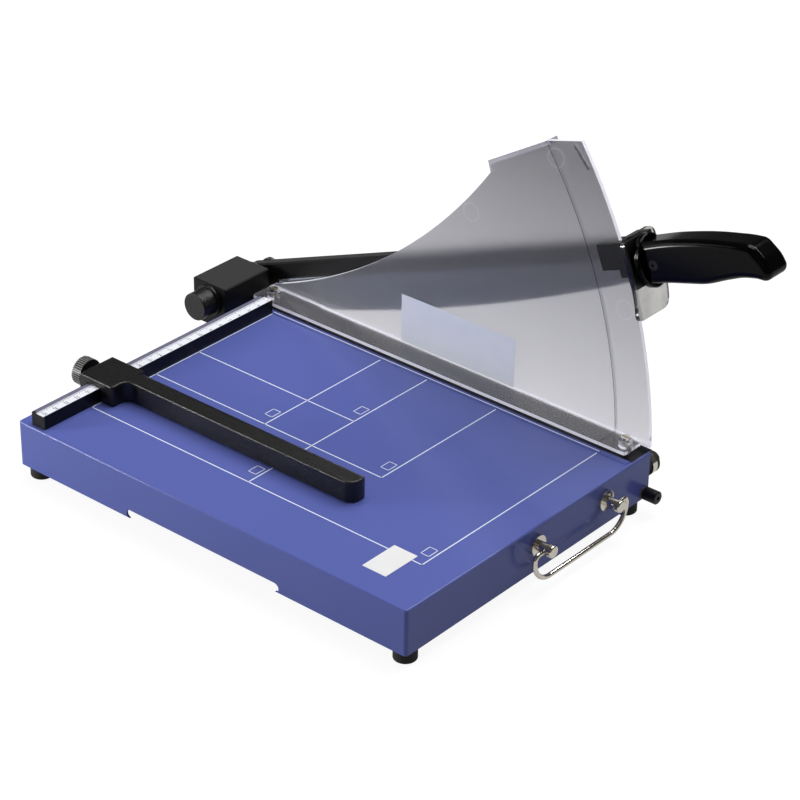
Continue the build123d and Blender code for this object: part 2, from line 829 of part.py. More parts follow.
thumb_inner_x = gauge_head_left_x - thumb_gap
thumb_tip_x = shoe_right_x - shoe_thickness - running_clearance
with BuildPart() as thumbscrew:
    with BuildSketch(Plane.YZ.offset(thumb_inner_x)):
        with Locations((gauge_mid_y, thumb_z)):
            Circle(thumb_diameter / 2)
            with PolarLocations(thumb_diameter / 2, thumb_groove_count):
                Rectangle(2 * thumb_groove_depth, thumb_groove_width, mode=Mode.SUBTRACT)
    extrude(amount=-thumb_thickness)
    with BuildSketch(Plane.YZ.offset(thumb_inner_x)):
        with Locations((gauge_mid_y, thumb_z)):
            Circle(thumb_neck_diameter / 2)
    extrude(amount=thumb_gap - slide_clearance)
    with BuildSketch(Plane.YZ.offset(thumb_inner_x)):
        with Locations((gauge_mid_y, thumb_z)):
            Circle(thumb_shank_diameter / 2)
    extrude(amount=thumb_tip_x - thumb_inner_x)
save(thumbscrew, "thumbscrew")

# Pivot block: a casting bolted through the left skirt to the bed bar.
block_left_x = table_left_x - block_width
block_top_z = top_z + block_top
block_height = block_top + block_bottom
pivot_place = (pivot_x, pivot_z)
with BuildPart() as pivot_block:
    with BuildSketch(upright(block_back_y)):
        with Locations((block_left_x, block_top_z)):
            Rectangle(block_width, block_height, align=(Align.MIN, Align.MAX))
    extrude(amount=block_length)
    chamfer(pivot_block.edges(), block_edge_chamfer)
    with BuildSketch(upright(block_back_y)):
        with Locations(pivot_place):
            Circle(shaft_diameter / 2 + slide_clearance)
    extrude(amount=block_length, mode=Mode.SUBTRACT)
    with BuildSketch(upright(block_back_y)):
        with Locations(pivot_place):
            Circle(bush_outer_diameter / 2 + thread_clearance)
    extrude(amount=bush_length, mode=Mode.SUBTRACT)
    with BuildSketch(upright(block_front_y + bush_length)):
        with Locations(pivot_place):
            Circle(bush_outer_diameter / 2 + thread_clearance)
    extrude(amount=bush_length, mode=Mode.SUBTRACT)
    with BuildSketch(Plane.YZ.offset(block_left_x)):
        with Locations(*block_bolt_places):
            Circle(block_bolt_diameter / 2 + running_clearance)
    extrude(amount=block_width, mode=Mode.SUBTRACT)
    with BuildSketch(Plane.YZ.offset(table_left_x)):
        with Locations(block_screw_place):
            Circle(block_bolt_diameter / 2 + thread_clearance)
    extrude(amount=-block_screw_reach, mode=Mode.SUBTRACT)
save(pivot_block, "pivot_block")

block_bolt = cap_screw(
    block_bolt_diameter,
    block_width + sheet + block_bolt_reach,
    block_bolt_head,
    block_bolt_head_height,
)
with BuildPart() as pivot_block_bolts:
    with Locations(*[Plane((block_left_x, y, z), z_dir=(-1, 0, 0)) for y, z in block_bolt_places]):
        add(block_bolt)
save(pivot_block_bolts, "pivot_block_bolts")

block_screw_y, block_screw_z = block_screw_place
with BuildPart() as pivot_block_screw:
    with Locations(Plane((bar_left_x, block_screw_y, block_screw_z), z_dir=(1, 0, 0))):
        add(
            cap_screw(
                block_bolt_diameter,
                sheet + block_screw_reach,
                block_bolt_head,
                block_bolt_head_height,
            )
        )
save(pivot_block_screw, "pivot_block_screw")

# Bushes in the block: the rear one has a flange for the arm's thrust washer.
with BuildPart() as front_bush:
    with BuildSketch(upright(block_front_y + bush_length)):
        with Locations(pivot_place):
            Circle(bush_outer_diameter / 2)
            Circle(shaft_diameter / 2 + running_clearance, mode=Mode.SUBTRACT)
    extrude(amount=bush_length)
save(front_bush, "front_bush")

bush_flange_y = block_back_y + bush_flange_thickness
with BuildPart() as rear_bush:
    with BuildSketch(upright(block_back_y)):
        with Locations(pivot_place):
            Circle(bush_outer_diameter / 2)
            Circle(shaft_diameter / 2 + running_clearance, mode=Mode.SUBTRACT)
    extrude(amount=bush_length)
    with BuildSketch(upright(bush_flange_y)):
        with Locations(pivot_place):
            Circle(bush_flange_diameter / 2)
            Circle(shaft_diameter / 2 + running_clearance, mode=Mode.SUBTRACT)
    extrude(amount=bush_flange_thickness)
save(rear_bush, "rear_bush")

# Cap over the tensioning nut, pressed on the near end of the block.
with BuildPart() as pivot_cap:
    with BuildSketch(upright(block_front_y)):
        with Locations(pivot_place):
            Circle(cap_diameter / 2)
    extrude(amount=cap_length)
    fillet(pivot_cap.edges().group_by(Axis.Y)[0], cap_edge_radius)
    with BuildSketch(upright(block_front_y)):
        with Locations(pivot_place):
            Circle(cap_ring_diameter / 2)
    extrude(amount=cap_ring_length)
    with BuildSketch(upright(block_front_y)):
        with Locations(pivot_place):
            Circle(cap_diameter / 2 - cap_wall)
    extrude(amount=cap_length - cap_face, mode=Mode.SUBTRACT)
save(pivot_cap, "pivot_cap")

# Blade arm and what turns with it. The washer and the spring discs take up the side play.
blade_front_y = cut_y + blade_gap
beam_front_y = blade_front_y + blade_thickness
beam_back_y = beam_front_y + beam_thickness
washer_front_y = bush_flange_y + running_clearance
washer_back_y = washer_front_y + thrust_washer_thickness
disc_start_y = block_front_y - running_clearance
disc_step = spring_disc_thickness + running_clearance
nut_front_y = disc_start_y - spring_disc_rise - spring_disc_count * disc_step
nut_end_y = nut_front_y - nut_thickness
shaft_shoulder_y = block_front_y + overrun
tang_front_y = beam_front_y + tang_inset
collar_start = guard_start + guard_thickness
grip_start = collar_start + collar_thickness
grip_screw_place = (grip_start + grip_screw_offset, -handle_mid_height)
blade_screw_run = blade_end - blade_screw_end_margin - blade_screw_start
blade_screw_spacing = blade_screw_run / (blade_screw_count - 1)
blade_screw_places = [
    (u, -blade_screw_height) for u in row(blade_screw_count, blade_screw_spacing, blade_screw_start)
]
with BuildPart() as arm_beam:
    with BuildSketch(along_arm(beam_back_y)) as beam_side:
        with BuildLine():
            Polyline(
                (-beam_tail, beam_top),
                (cheek_start, beam_top),
                (cheek_start, -beam_bottom),
                (-beam_tail, -beam_bottom),
                close=True,
            )
        make_face()
        fillet(beam_side.vertices().sort_by(Axis.X)[:2], beam_tail_radius)
    extrude(amount=beam_thickness)
    top_edges = arm_beam.edges().filter_by(lambda edge: edge.length > cheek_start).sort_by(Axis.Z)[-2:]
    chamfer(top_edges, beam_bevel)
    with BuildSketch(along_arm(beam_front_y)):
        Circle(hub_diameter / 2)
    extrude(amount=beam_front_y - washer_back_y)
    with BuildSketch(along_arm(beam_back_y - tang_inset)):
        with Locations((cheek_start - overrun, -tang_bottom)):
            Rectangle(
                tang_length - cheek_start + overrun, tang_top + tang_bottom, align=(Align.MIN, Align.MIN)
            )
    extrude(amount=beam_thickness - 2 * tang_inset)
    with BuildSketch(along_arm(beam_back_y)):
        Circle(shaft_thread_diameter / 2 + thread_clearance)
    extrude(amount=beam_back_y - washer_back_y, mode=Mode.SUBTRACT)
    with BuildSketch(along_arm(beam_front_y)):
        with Locations(*blade_screw_places):
            Circle(blade_screw_diameter / 2 + thread_clearance)
    extrude(amount=-blade_screw_reach, mode=Mode.SUBTRACT)
    with BuildSketch(along_arm(tang_front_y)):
        with Locations(grip_screw_place):
            Circle(grip_screw_diameter / 2 + thread_clearance)
    extrude(amount=-grip_screw_bite, mode=Mode.SUBTRACT)
save(arm_beam, "arm_beam")

with BuildPart() as upper_blade:
    with BuildSketch(along_arm(beam_front_y)):
        with BuildLine():
            Polyline(
                (blade_end, -blade_tip),
                (blade_end, -blade_top),
                (blade_start, -blade_top),
                (blade_start, -blade_heel),
            )
            ThreePointArc(
                (blade_start, -blade_heel),
                (blade_start + (blade_end - blade_start) * blade_belly_share, -blade_belly),
                (blade_end, -blade_tip),
            )
        make_face()
    extrude(amount=blade_thickness)
    cutting_edge = upper_blade.edges().filter_by(GeomType.CIRCLE).sort_by(Axis.Y)[-1]
    chamfer(cutting_edge, blade_bevel_depth, blade_bevel_height)
    with Locations(along_arm(blade_front_y)):
        with Locations(*blade_screw_places):
            CounterSinkHole(
                blade_screw_diameter / 2 + running_clearance,
                blade_screw_head / 2 + running_clearance,
                depth=blade_thickness,
                counter_sink_angle=90,
            )
save(upper_blade, "upper_blade")

with BuildPart() as blade_screws:
    with Locations(along_arm(blade_front_y)):
        with Locations(*blade_screw_places):
            add(flat_screw(blade_screw_diameter, blade_thickness + blade_screw_reach, blade_screw_head))
save(blade_screws, "blade_screws")

with BuildPart() as pivot_shaft:
    with BuildSketch(upright(washer_back_y)):
        with Locations(pivot_place):
            Circle(shaft_diameter / 2)
    extrude(amount=washer_back_y - shaft_shoulder_y)
    with BuildSketch(upright(beam_back_y)):
        with Locations(pivot_place):
            Circle(shaft_thread_diameter / 2)
    extrude(amount=beam_back_y - nut_end_y + nut_protrusion)
    with BuildSketch(upright(beam_back_y + shaft_flange_thickness)):
        with Locations(pivot_place):
            Circle(shaft_flange_diameter / 2)
    extrude(amount=shaft_flange_thickness)
save(pivot_shaft, "pivot_shaft")

with BuildPart() as thrust_washer:
    with BuildSketch(upright(washer_back_y)):
        with Locations(pivot_place):
            Circle(thrust_washer_diameter / 2)
            Circle(shaft_diameter / 2 + thread_clearance, mode=Mode.SUBTRACT)
    extrude(amount=thrust_washer_thickness)
save(thrust_washer, "thrust_washer")

disc_inner = shaft_thread_diameter / 2 + running_clearance
disc_outer = spring_disc_outer / 2
with BuildPart() as spring_discs:
    for y in row(spring_disc_count, -disc_step, disc_start_y):
        with BuildSketch(Plane(origin=(pivot_x, y, pivot_z), x_dir=(1, 0, 0), z_dir=(0, 0, 1))):
            with BuildLine():
                Polyline(
                    (disc_inner, -spring_disc_rise),
                    (disc_outer, 0),
                    (disc_outer, -spring_disc_thickness),
                    (disc_inner, -spring_disc_rise - spring_disc_thickness),
                    close=True,
                )
            make_face()
        revolve(axis=Axis((pivot_x, y, pivot_z), (0, 1, 0)))
save(spring_discs, "spring_discs")

with BuildPart() as pivot_nut:
    with BuildSketch(upright(nut_front_y)):
        with Locations(pivot_place):
            RegularPolygon(nut_across_flats / 2, 6, major_radius=False)
            Circle(shaft_thread_diameter / 2 + thread_clearance, mode=Mode.SUBTRACT)
    extrude(amount=nut_thickness)
save(pivot_nut, "pivot_nut")

# Handle end: a cast yoke on the arm's tang, whose hook runs in front of the shield's rim.
yoke_front_y = cut_y - cheek_gap
tang_mid_y = (beam_front_y + beam_back_y) / 2
tang_mid_height = (tang_top - tang_bottom) / 2
tang_width = beam_thickness - 2 * tang_inset
tang_height = tang_top + tang_bottom
tang_place = (tang_mid_y, tang_mid_height)
tang_fit = 2 * running_clearance
handle_y = cut_y + handle_centre
handle_place = (handle_y, -handle_mid_height)
with BuildPart() as handle_yoke:
    with BuildSketch(along_arm(yoke_front_y)):
        with Locations((hook_start, -hook_bottom)):
            Rectangle(cheek_start - hook_start, hook_top + hook_bottom, align=(Align.MIN, Align.MIN))
    extrude(amount=hook_front - cheek_gap)
    with BuildSketch(along_arm(yoke_front_y)):
        with Locations((cheek_start, -cheek_bottom)):
            Rectangle(guard_start - cheek_start, cheek_top + cheek_bottom, align=(Align.MIN, Align.MIN))
    extrude(amount=cheek_front - cheek_gap)
    chamfer(handle_yoke.edges().group_by(Axis.Y)[0], yoke_edge_chamfer)
    with BuildSketch(along_arm(cut_y + back_cheek_reach)):
        with Locations((bridge_start, -back_cheek_bottom)):
            Rectangle(
                guard_start - bridge_start, cheek_top + back_cheek_bottom, align=(Align.MIN, Align.MIN)
            )
    extrude(amount=back_cheek_reach + cheek_front)
    with BuildSketch(along_arm(cut_y + back_cheek_reach)):
        with Locations((cheek_start, -back_cheek_bottom)):
            Rectangle(
                guard_start - cheek_start, cheek_top + back_cheek_bottom, align=(Align.MIN, Align.MIN)
            )
    extrude(amount=back_cheek_reach - blade_gap)
    with BuildSketch(across_arm(guard_start)):
        with Locations(tang_place):
            Rectangle(tang_width + tang_fit, tang_height + tang_fit)
    extrude(amount=cheek_start - guard_start, mode=Mode.SUBTRACT)
save(handle_yoke, "handle_yoke")

# Hand guard: a moulded plate square to the arm, its foot bent back towards the blade.
guard_foot_run = guard_bottom - guard_flat_bottom
guard_foot_radius = (guard_foot_run**2 + guard_foot_bend**2) / (2 * guard_foot_bend)
guard_foot_turn = degrees(asin((guard_foot_run + guard_thickness) / guard_foot_radius))
guard_width = guard_far + guard_near
guard_mid_y = cut_y + (guard_far - guard_near) / 2
with BuildPart() as hand_guard:
    with BuildSketch(along_arm(guard_mid_y + guard_width / 2)):
        with BuildLine():
            foot_bend_centre = (guard_start - guard_foot_radius, -guard_flat_bottom)
            near_bend = CenterArc(foot_bend_centre, guard_foot_radius, 0, -guard_foot_turn)
            far_bend = CenterArc(foot_bend_centre, guard_foot_radius + guard_thickness, 0, -guard_foot_turn)
            Line(near_bend @ 1, far_bend @ 1)
            Polyline(
                near_bend @ 0,
                (guard_start, guard_top),
                (guard_start + guard_thickness, guard_top),
                far_bend @ 0,
            )
        make_face()
    extrude(amount=guard_width)
    with BuildSketch(across_arm(guard_start - guard_foot_bend)):
        with Locations((guard_mid_y, (guard_top - guard_bottom) / 2)):
            RectangleRounded(guard_width, guard_top + guard_bottom, guard_corner_radius)
    extrude(amount=guard_foot_bend + guard_thickness, mode=Mode.INTERSECT)
    with BuildSketch(across_arm(guard_start)):
        with Locations(tang_place):
            Rectangle(tang_width + tang_fit, tang_height + tang_fit)
    extrude(amount=guard_thickness, mode=Mode.SUBTRACT)
save(hand_guard, "hand_guard")

with BuildPart() as handle_collar:
    with BuildSketch(across_arm(collar_start)):
        with Locations(handle_place):
            Ellipse(collar_half_width, collar_half_height)
        with Locations(tang_place):
            Rectangle(tang_width + tang_fit, tang_height + tang_fit, mode=Mode.SUBTRACT)
    extrude(amount=collar_thickness)
    collar_rim = handle_collar.edges().filter_by(GeomType.ELLIPSE)
    chamfer(collar_rim, collar_edge_chamfer)
save(handle_collar, "handle_collar")

# Grip: a moulding over the tang, held by a cross screw.
grip_height = grip_top + grip_bottom
grip_near_y = handle_y - grip_half_width
grip_screw_seat_y = grip_near_y + grip_screw_recess
with BuildPart() as handle_grip:
    with BuildSketch(along_arm(handle_y + grip_half_width)):
        with BuildLine():
            FilletPolyline(
                *[
                    (grip_start + along * grip_length, up * grip_height - grip_bottom)
                    for along, up in grip_outline_shares
                ],
                radius=[share * grip_height for share in grip_corner_shares],
                close=True,
            )
        make_face()
    extrude(amount=2 * grip_half_width)
    long_edges = handle_grip.edges().group_by(Axis.Y)[0] + handle_grip.edges().group_by(Axis.Y)[-1]
    fillet(long_edges, grip_edge_radius)
    with BuildSketch(across_arm(grip_start)):
        with Locations(tang_place):
            Rectangle(tang_width + 2 * grip_fit, tang_height + 2 * grip_fit)
    extrude(amount=tang_length + grip_fit - grip_start, mode=Mode.SUBTRACT)
    with BuildSketch(along_arm(grip_screw_seat_y)):
        with Locations(grip_screw_place):
            Circle(grip_screw_head / 2 + running_clearance)
    extrude(amount=grip_screw_recess, mode=Mode.SUBTRACT)
    with BuildSketch(along_arm(tang_front_y)):
        with Locations(grip_screw_place):
            Circle(grip_screw_diameter / 2 + running_clearance)
    extrude(amount=tang_front_y - grip_near_y, mode=Mode.SUBTRACT)
save(handle_grip, "handle_grip")

with BuildPart() as grip_screw:
    with BuildSketch(along_arm(grip_screw_seat_y)):
        with Locations(grip_screw_place):
            Circle(grip_screw_head / 2)
            RegularPolygon(grip_screw_head / 4, 6, mode=Mode.SUBTRACT)
    extrude(amount=grip_screw_head_height)
    with BuildSketch(along_arm(tang_front_y + grip_screw_bite)):
        with Locations(grip_screw_place):
            Circle(grip_screw_diameter / 2)
    extrude(amount=tang_front_y + grip_screw_bite - grip_screw_seat_y + grip_screw_head_height / 2)
save(grip_screw, "grip_screw")

# Safety shield: one clear moulding on two posts, pressed down by hand as a paper clamp.
shield_front_y = cut_y - wall_front
shield_back_y = cut_y - wall_back
shield_left_x = fence_x - foot_left_margin
shield_base_z = top_z + foot_gap
rim_mid_radius = bridge_start - rim_clearance
rim_mid_x = pivot_x + sqrt(rim_mid_radius**2 - (rim_mid_height - pivot_offset_z) ** 2)
rim_arc = ThreePointArc(
    (fence_x + crown_end_x, top_z + crown_end_height),
    (rim_mid_x, top_z + rim_mid_height),
    (fence_x + rim_foot_x, top_z + rim_foot_height),
)
rim_centre = (rim_arc.arc_center.X, rim_arc.arc_center.Y)
crease_radius = rim_arc.radius - crease_inset
foot_top_z = shield_base_z + foot_thickness
tab_length = hypot(tab_end_x - tab_start_x, tab_end_height - tab_start_height)
tab_slope = atan2(tab_end_height - tab_start_height, tab_end_x - tab_start_x)
tab_plane = Plane(
    origin=(fence_x + tab_start_x, cut_y, top_z + tab_start_height),
    x_dir=(cos(tab_slope), 0, sin(tab_slope)),
    z_dir=(-sin(tab_slope), 0, cos(tab_slope)),
)
with BuildPart() as safety_shield:
    with BuildSketch(upright(shield_back_y)):
        with BuildLine():
            add(rim_arc)
            Polyline(
                rim_arc @ 1,
                (fence_x + rim_foot_x, shield_base_z),
                (shield_left_x, shield_base_z),
                (fence_x - wall_left_start, top_z + wall_left_height),
            )
            ThreePointArc(
                (fence_x - wall_left_start, top_z + wall_left_height),
                (fence_x + wall_mid_x, top_z + wall_mid_height),
                (fence_x + wall_neck_x, top_z + wall_neck_height),
            )
            Polyline(
                (fence_x + wall_neck_x, top_z + wall_neck_height),
                (fence_x + tab_start_x, top_z + tab_start_height),
                (fence_x + tab_end_x, top_z + tab_end_height),
                (fence_x + crown_start_x, top_z + crown_start_height),
                rim_arc @ 0,
            )
        make_face()
    extrude(amount=wall_front - wall_back)
    with BuildSketch(Plane.XY.offset(shield_base_z)) as foot_outline:
        with Locations((shield_left_x, cut_y - foot_front)):
            Rectangle(
                foot_right_end + foot_left_margin, foot_front - wall_back, align=(Align.MIN, Align.MIN)
            )
        fillet(foot_outline.vertices().group_by(Axis.Y)[0], shield_corner_radius)
    extrude(amount=foot_thickness)
    with BuildSketch(Plane.XY.offset(shield_base_z)):
        with Locations(*post_places):
            Circle(post_boss_diameter / 2)
    extrude(amount=post_boss_height - foot_gap)
    with BuildSketch(tab_plane) as tab_outline:
        with BuildLine():
            Polyline(
                (0, -wall_front),
                (tab_length, -wall_front),
                (tab_length, tab_reach),
                (-tab_slant, tab_reach),
                close=True,
            )
        make_face()
        far_corners = tab_outline.vertices().group_by(Axis.Y)[-1].sort_by(Axis.X)
        fillet(far_corners[-1], tab_right_radius)
        fillet(tab_outline.vertices().group_by(Axis.Y)[-1].sort_by(Axis.X)[0], tab_left_radius)
    extrude(amount=-tab_thickness)
    with BuildSketch(Plane.XY.offset(shield_base_z)):
        with Locations(*post_places):
            Circle(post_spring_bore / 2)
    extrude(amount=post_spring_bore_depth, mode=Mode.SUBTRACT)
    with BuildSketch(Plane.XY.offset(shield_base_z)):
        with Locations(*post_places):
            Circle(post_diameter / 2 + slide_clearance)
    extrude(amount=post_boss_height, mode=Mode.SUBTRACT)
    with BuildSketch(upright(shield_front_y + crease_depth)):
        with Locations(rim_centre):
            Circle(crease_radius + crease_width / 2)
            Circle(crease_radius - crease_width / 2, mode=Mode.SUBTRACT)
        with Locations((fence_x + wall_neck_x, foot_top_z)):
            Rectangle(rim_foot_x, crown_end_height, align=(Align.MIN, Align.MIN), mode=Mode.INTERSECT)
    extrude(amount=crease_depth, mode=Mode.SUBTRACT)
    with BuildSketch(upright(shield_back_y)):
        with Locations((fence_x + latch_slot_x, top_z + latch_slot_height)):
            SlotOverall(latch_slot_length, latch_slot_width, rotation=latch_slot_tilt)
    extrude(amount=wall_front - wall_back, mode=Mode.SUBTRACT)
save(safety_shield, "safety_shield")

with BuildPart() as shield_label:
    with BuildSketch(upright(shield_front_y)):
        with Locations((fence_x + label_left, top_z + label_bottom)):
            Rectangle(label_right - label_left, label_top - label_bottom, align=(Align.MIN, Align.MIN))
    extrude(amount=thin_film)
save(shield_label, "shield_label")

# Posts of the shield, and the springs that lift it.
with BuildPart() as shield_posts:
    with BuildSketch(Plane.XY.offset(top_z - post_bore_depth)):
        with Locations(*post_places):
            Circle(post_diameter / 2)
    extrude(amount=post_bore_depth + post_boss_height + running_clearance)
    with BuildSketch(Plane.XY.offset(top_z + post_boss_height + running_clearance)):
        with Locations(*post_places):
            Circle(post_head_diameter / 2)
    extrude(amount=post_head_height)
    with BuildSketch(Plane.XY.offset(top_z + post_boss_height + running_clearance + post_head_height)):
        with Locations(*post_places):
            Rectangle(post_head_diameter, post_slot_width)
    extrude(amount=-post_slot_depth, mode=Mode.SUBTRACT)
save(shield_posts, "shield_posts")

spring_space = foot_gap + post_spring_bore_depth
for label, (x, y) in zip(("shield_spring_left", "shield_spring_right"), post_places):
    spring = coil(spring_wire, spring_mean_diameter, spring_turns, spring_space, Plane((x, y, top_z)))
    save(spring, label)

# Carrying handle: two studs through the right skirt and a bent wire bail.
bail_x = table_right_x + carry_standoff
cap_start_x = bail_x + bail_wire / 2 + running_clearance + carry_cap_wall
washer_face_x = table_right_x + carry_washer_thickness
nut_face_x = table_right_x - sheet
bail_z = top_z - carry_drop
with BuildPart() as carry_studs:
    with BuildSketch(Plane.YZ.offset(nut_face_x - carry_nut_thickness - overrun)):
        with Locations(*carry_places):
            Circle(carry_stud_diameter / 2)
    extrude(amount=sheet + carry_nut_thickness + overrun + carry_washer_thickness)
    with BuildSketch(Plane.YZ.offset(washer_face_x)):
        with Locations(*carry_places):
            Circle(carry_stem_diameter / 2)
    extrude(amount=cap_start_x - washer_face_x)
    with BuildSketch(Plane.YZ.offset(cap_start_x)):
        with Locations(*carry_places):
            Circle(carry_cap_diameter / 2)
    extrude(amount=carry_cap_length)
    fillet(carry_studs.edges().group_by(Axis.X)[-1], carry_cap_radius)
    with Locations(*[Plane((bail_x, y, z), z_dir=(0, 1, 0)) for y, z in carry_places]):
        Cylinder(bail_wire / 2 + running_clearance, carry_cap_diameter, mode=Mode.SUBTRACT)
save(carry_studs, "carry_studs")

with BuildPart() as carry_washers:
    with BuildSketch(Plane.YZ.offset(table_right_x)):
        with Locations(*carry_places):
            Circle(carry_washer_diameter / 2)
            Circle(carry_stud_diameter / 2 + running_clearance, mode=Mode.SUBTRACT)
    extrude(amount=carry_washer_thickness)
save(carry_washers, "carry_washers")

with BuildPart() as carry_nuts:
    with BuildSketch(Plane.YZ.offset(nut_face_x)):
        with Locations(*carry_places):
            RegularPolygon(carry_nut_across_flats / 2, 6, major_radius=False)
            Circle(carry_stud_diameter / 2 + thread_clearance, mode=Mode.SUBTRACT)
    extrude(amount=-carry_nut_thickness)
save(carry_nuts, "carry_nuts")

bail_near_y = carry_near_y - bail_side_reach
bail_far_y = carry_far_y + bail_side_reach
bail_tip_inset = bail_side_reach + carry_stem_diameter / 2 + bail_tip_show
with BuildPart() as carrying_bail:
    with BuildLine(Plane.YZ.offset(bail_x)) as bail_path:
        FilletPolyline(
            (bail_near_y + bail_tip_inset, bail_z),
            (bail_near_y, bail_z),
            (bail_near_y, bail_z - bail_drop),
            (bail_far_y, bail_z - bail_drop),
            (bail_far_y, bail_z),
            (bail_far_y - bail_tip_inset, bail_z),
            radius=[bail_corner_radius, bail_bend_radius, bail_bend_radius, bail_corner_radius],
        )
    with BuildSketch(Plane(bail_path.line @ 0, z_dir=bail_path.line % 0)):
        Circle(bail_wire / 2)
    sweep()
save(carrying_bail, "carrying_bail")

# Arm lock: a spring loaded pin with a knob, low on the right skirt.
bush_end_x = nut_face_x - lock_bush_length
knob_face_x = table_right_x + lock_bush_flange_thickness + running_clearance
bracket_right_x = table_right_x - lock_bracket_inset
bracket_left_x = bracket_right_x - lock_bracket_thickness
collar_left_x = bracket_right_x + running_clearance
collar_right_x = collar_left_x + lock_collar_length
lock_y, lock_z = lock_place
with BuildPart() as lock_bush:
    with BuildSketch(Plane.YZ.offset(bush_end_x)):
        with Locations(lock_place):
            Circle(lock_bush_diameter / 2)
    extrude(amount=table_right_x - bush_end_x)
    with BuildSketch(Plane.YZ.offset(table_right_x)):
        with Locations(lock_place):
            Circle(lock_bush_flange / 2)
    extrude(amount=lock_bush_flange_thickness)
    with BuildSketch(Plane.YZ.offset(bush_end_x)):
        with Locations(lock_place):
            Circle(lock_pin_diameter / 2 + running_clearance)
    extrude(amount=table_right_x + lock_bush_flange_thickness - bush_end_x, mode=Mode.SUBTRACT)
save(lock_bush, "lock_bush")

with BuildPart() as lock_pin:
    with BuildSketch(Plane.YZ.offset(bracket_left_x - lock_pin_tail)):
        with Locations(lock_place):
            Circle(lock_pin_diameter / 2)
    extrude(amount=knob_face_x + lock_knob_seat - bracket_left_x + lock_pin_tail)
    with BuildSketch(Plane.YZ.offset(collar_left_x)):
        with Locations(lock_place):
            Circle(lock_collar_diameter / 2)
    extrude(amount=lock_collar_length)
save(lock_pin, "lock_pin")

with BuildPart() as lock_knob:
    with BuildSketch(Plane.YZ.offset(knob_face_x)):
        with Locations(lock_place):
            Circle(lock_knob_diameter / 2)
    extrude(amount=lock_knob_length)
    chamfer(lock_knob.edges().group_by(Axis.X)[-1], lock_knob_chamfer)
    with BuildSketch(Plane.YZ.offset(knob_face_x)):
        with Locations(lock_place):
            Circle(lock_pin_diameter / 2 + thread_clearance)
    extrude(amount=lock_knob_seat, mode=Mode.SUBTRACT)
    with BuildSketch(Plane.YZ.offset(knob_face_x + lock_knob_length)):
        with Locations(lock_place):
            Circle(lock_knob_hole / 2)
    extrude(amount=-lock_knob_hole_depth, mode=Mode.SUBTRACT)
save(lock_knob, "lock_knob")

with BuildPart() as lock_bracket:
    with BuildSketch(Plane.YZ.offset(bracket_left_x)):
        with Locations((lock_y, foot_height + sheet)):
            Rectangle(lock_bracket_width, lock_bracket_height, align=(Align.CENTER, Align.MIN))
        with Locations(lock_place):
            Circle(lock_pin_diameter / 2 + running_clearance, mode=Mode.SUBTRACT)
    extrude(amount=lock_bracket_thickness)
save(lock_bracket, "lock_bracket")

lock_spring_base = Plane((collar_right_x, lock_y, lock_z), x_dir=(0, 1, 0), z_dir=(1, 0, 0))
lock_spring = coil(
    lock_spring_wire,
    lock_spring_mean_diameter,
    lock_spring_turns,
    bush_end_x - collar_right_x,
    lock_spring_base,
)
save(lock_spring, "lock_spring")
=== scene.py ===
import math

import bmesh
import bpy
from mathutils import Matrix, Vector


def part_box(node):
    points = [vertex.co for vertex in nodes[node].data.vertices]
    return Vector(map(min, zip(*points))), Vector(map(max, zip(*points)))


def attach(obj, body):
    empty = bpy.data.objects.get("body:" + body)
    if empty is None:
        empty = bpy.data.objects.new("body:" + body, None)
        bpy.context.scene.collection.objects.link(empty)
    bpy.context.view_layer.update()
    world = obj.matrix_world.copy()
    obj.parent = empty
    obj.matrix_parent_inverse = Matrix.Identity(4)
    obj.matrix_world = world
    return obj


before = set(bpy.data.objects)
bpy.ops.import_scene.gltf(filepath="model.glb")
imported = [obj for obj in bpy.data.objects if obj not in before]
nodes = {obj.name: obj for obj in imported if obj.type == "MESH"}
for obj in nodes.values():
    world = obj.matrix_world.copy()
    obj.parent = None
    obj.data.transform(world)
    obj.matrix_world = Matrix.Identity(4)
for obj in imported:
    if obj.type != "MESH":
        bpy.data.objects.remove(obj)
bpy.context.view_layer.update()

# Table: a tray folded from 1.5 mm steel sheet and stove enamelled blue. The enamel has a smooth
# satin gloss, with the faint orange peel of sprayed paint and a slow drift of tone.
MM = 0.001
ENAMEL_BLUE = "5F6AB3"
ENAMEL_SHADE = "5B66AD"
ORANGE_PEEL = 1.6 * MM


def colour(code):
    """Turn an sRGB hex value into the linear colour that a socket takes."""
    parts = [int(code[i : i + 2], 16) / 255 for i in (0, 2, 4)]
    linear = [c / 12.92 if c <= 0.04045 else ((c + 0.055) / 1.055) ** 2.4 for c in parts]
    return (*linear, 1.0)


def feed(socket, value):
    """Give a socket its value, or link it to a node or to one of a node's outputs."""
    if isinstance(value, bpy.types.Node):
        value = next(output for output in value.outputs if output.enabled)
    if isinstance(value, bpy.types.NodeSocket):
        socket.id_data.links.new(value, socket)
    else:
        socket.default_value = value


def add(tree, kind, *inputs, **named):
    """Add one node. Its inputs come in order or by name, and other names are its properties."""
    node = tree.nodes.new(kind)
    by_name = {name: node.inputs.get(name.replace("_", " ")) for name in named}
    for name, socket in by_name.items():
        if socket is None:
            setattr(node, name, named[name])
    for socket, value in zip([socket for socket in node.inputs if socket.enabled], inputs):
        feed(socket, value)
    for name, socket in by_name.items():
        if socket is not None:
            feed(socket, named[name])
    return node


def finish_named(name, **settings):
    """Start a material, and set on its main shader what is the same all over the surface."""
    made = bpy.data.materials.new(name)
    made.use_nodes = True
    shader = made.node_tree.nodes["Principled BSDF"]
    for socket, value in settings.items():
        feed(shader.inputs[socket.replace("_", " ")], value)
    return made, shader


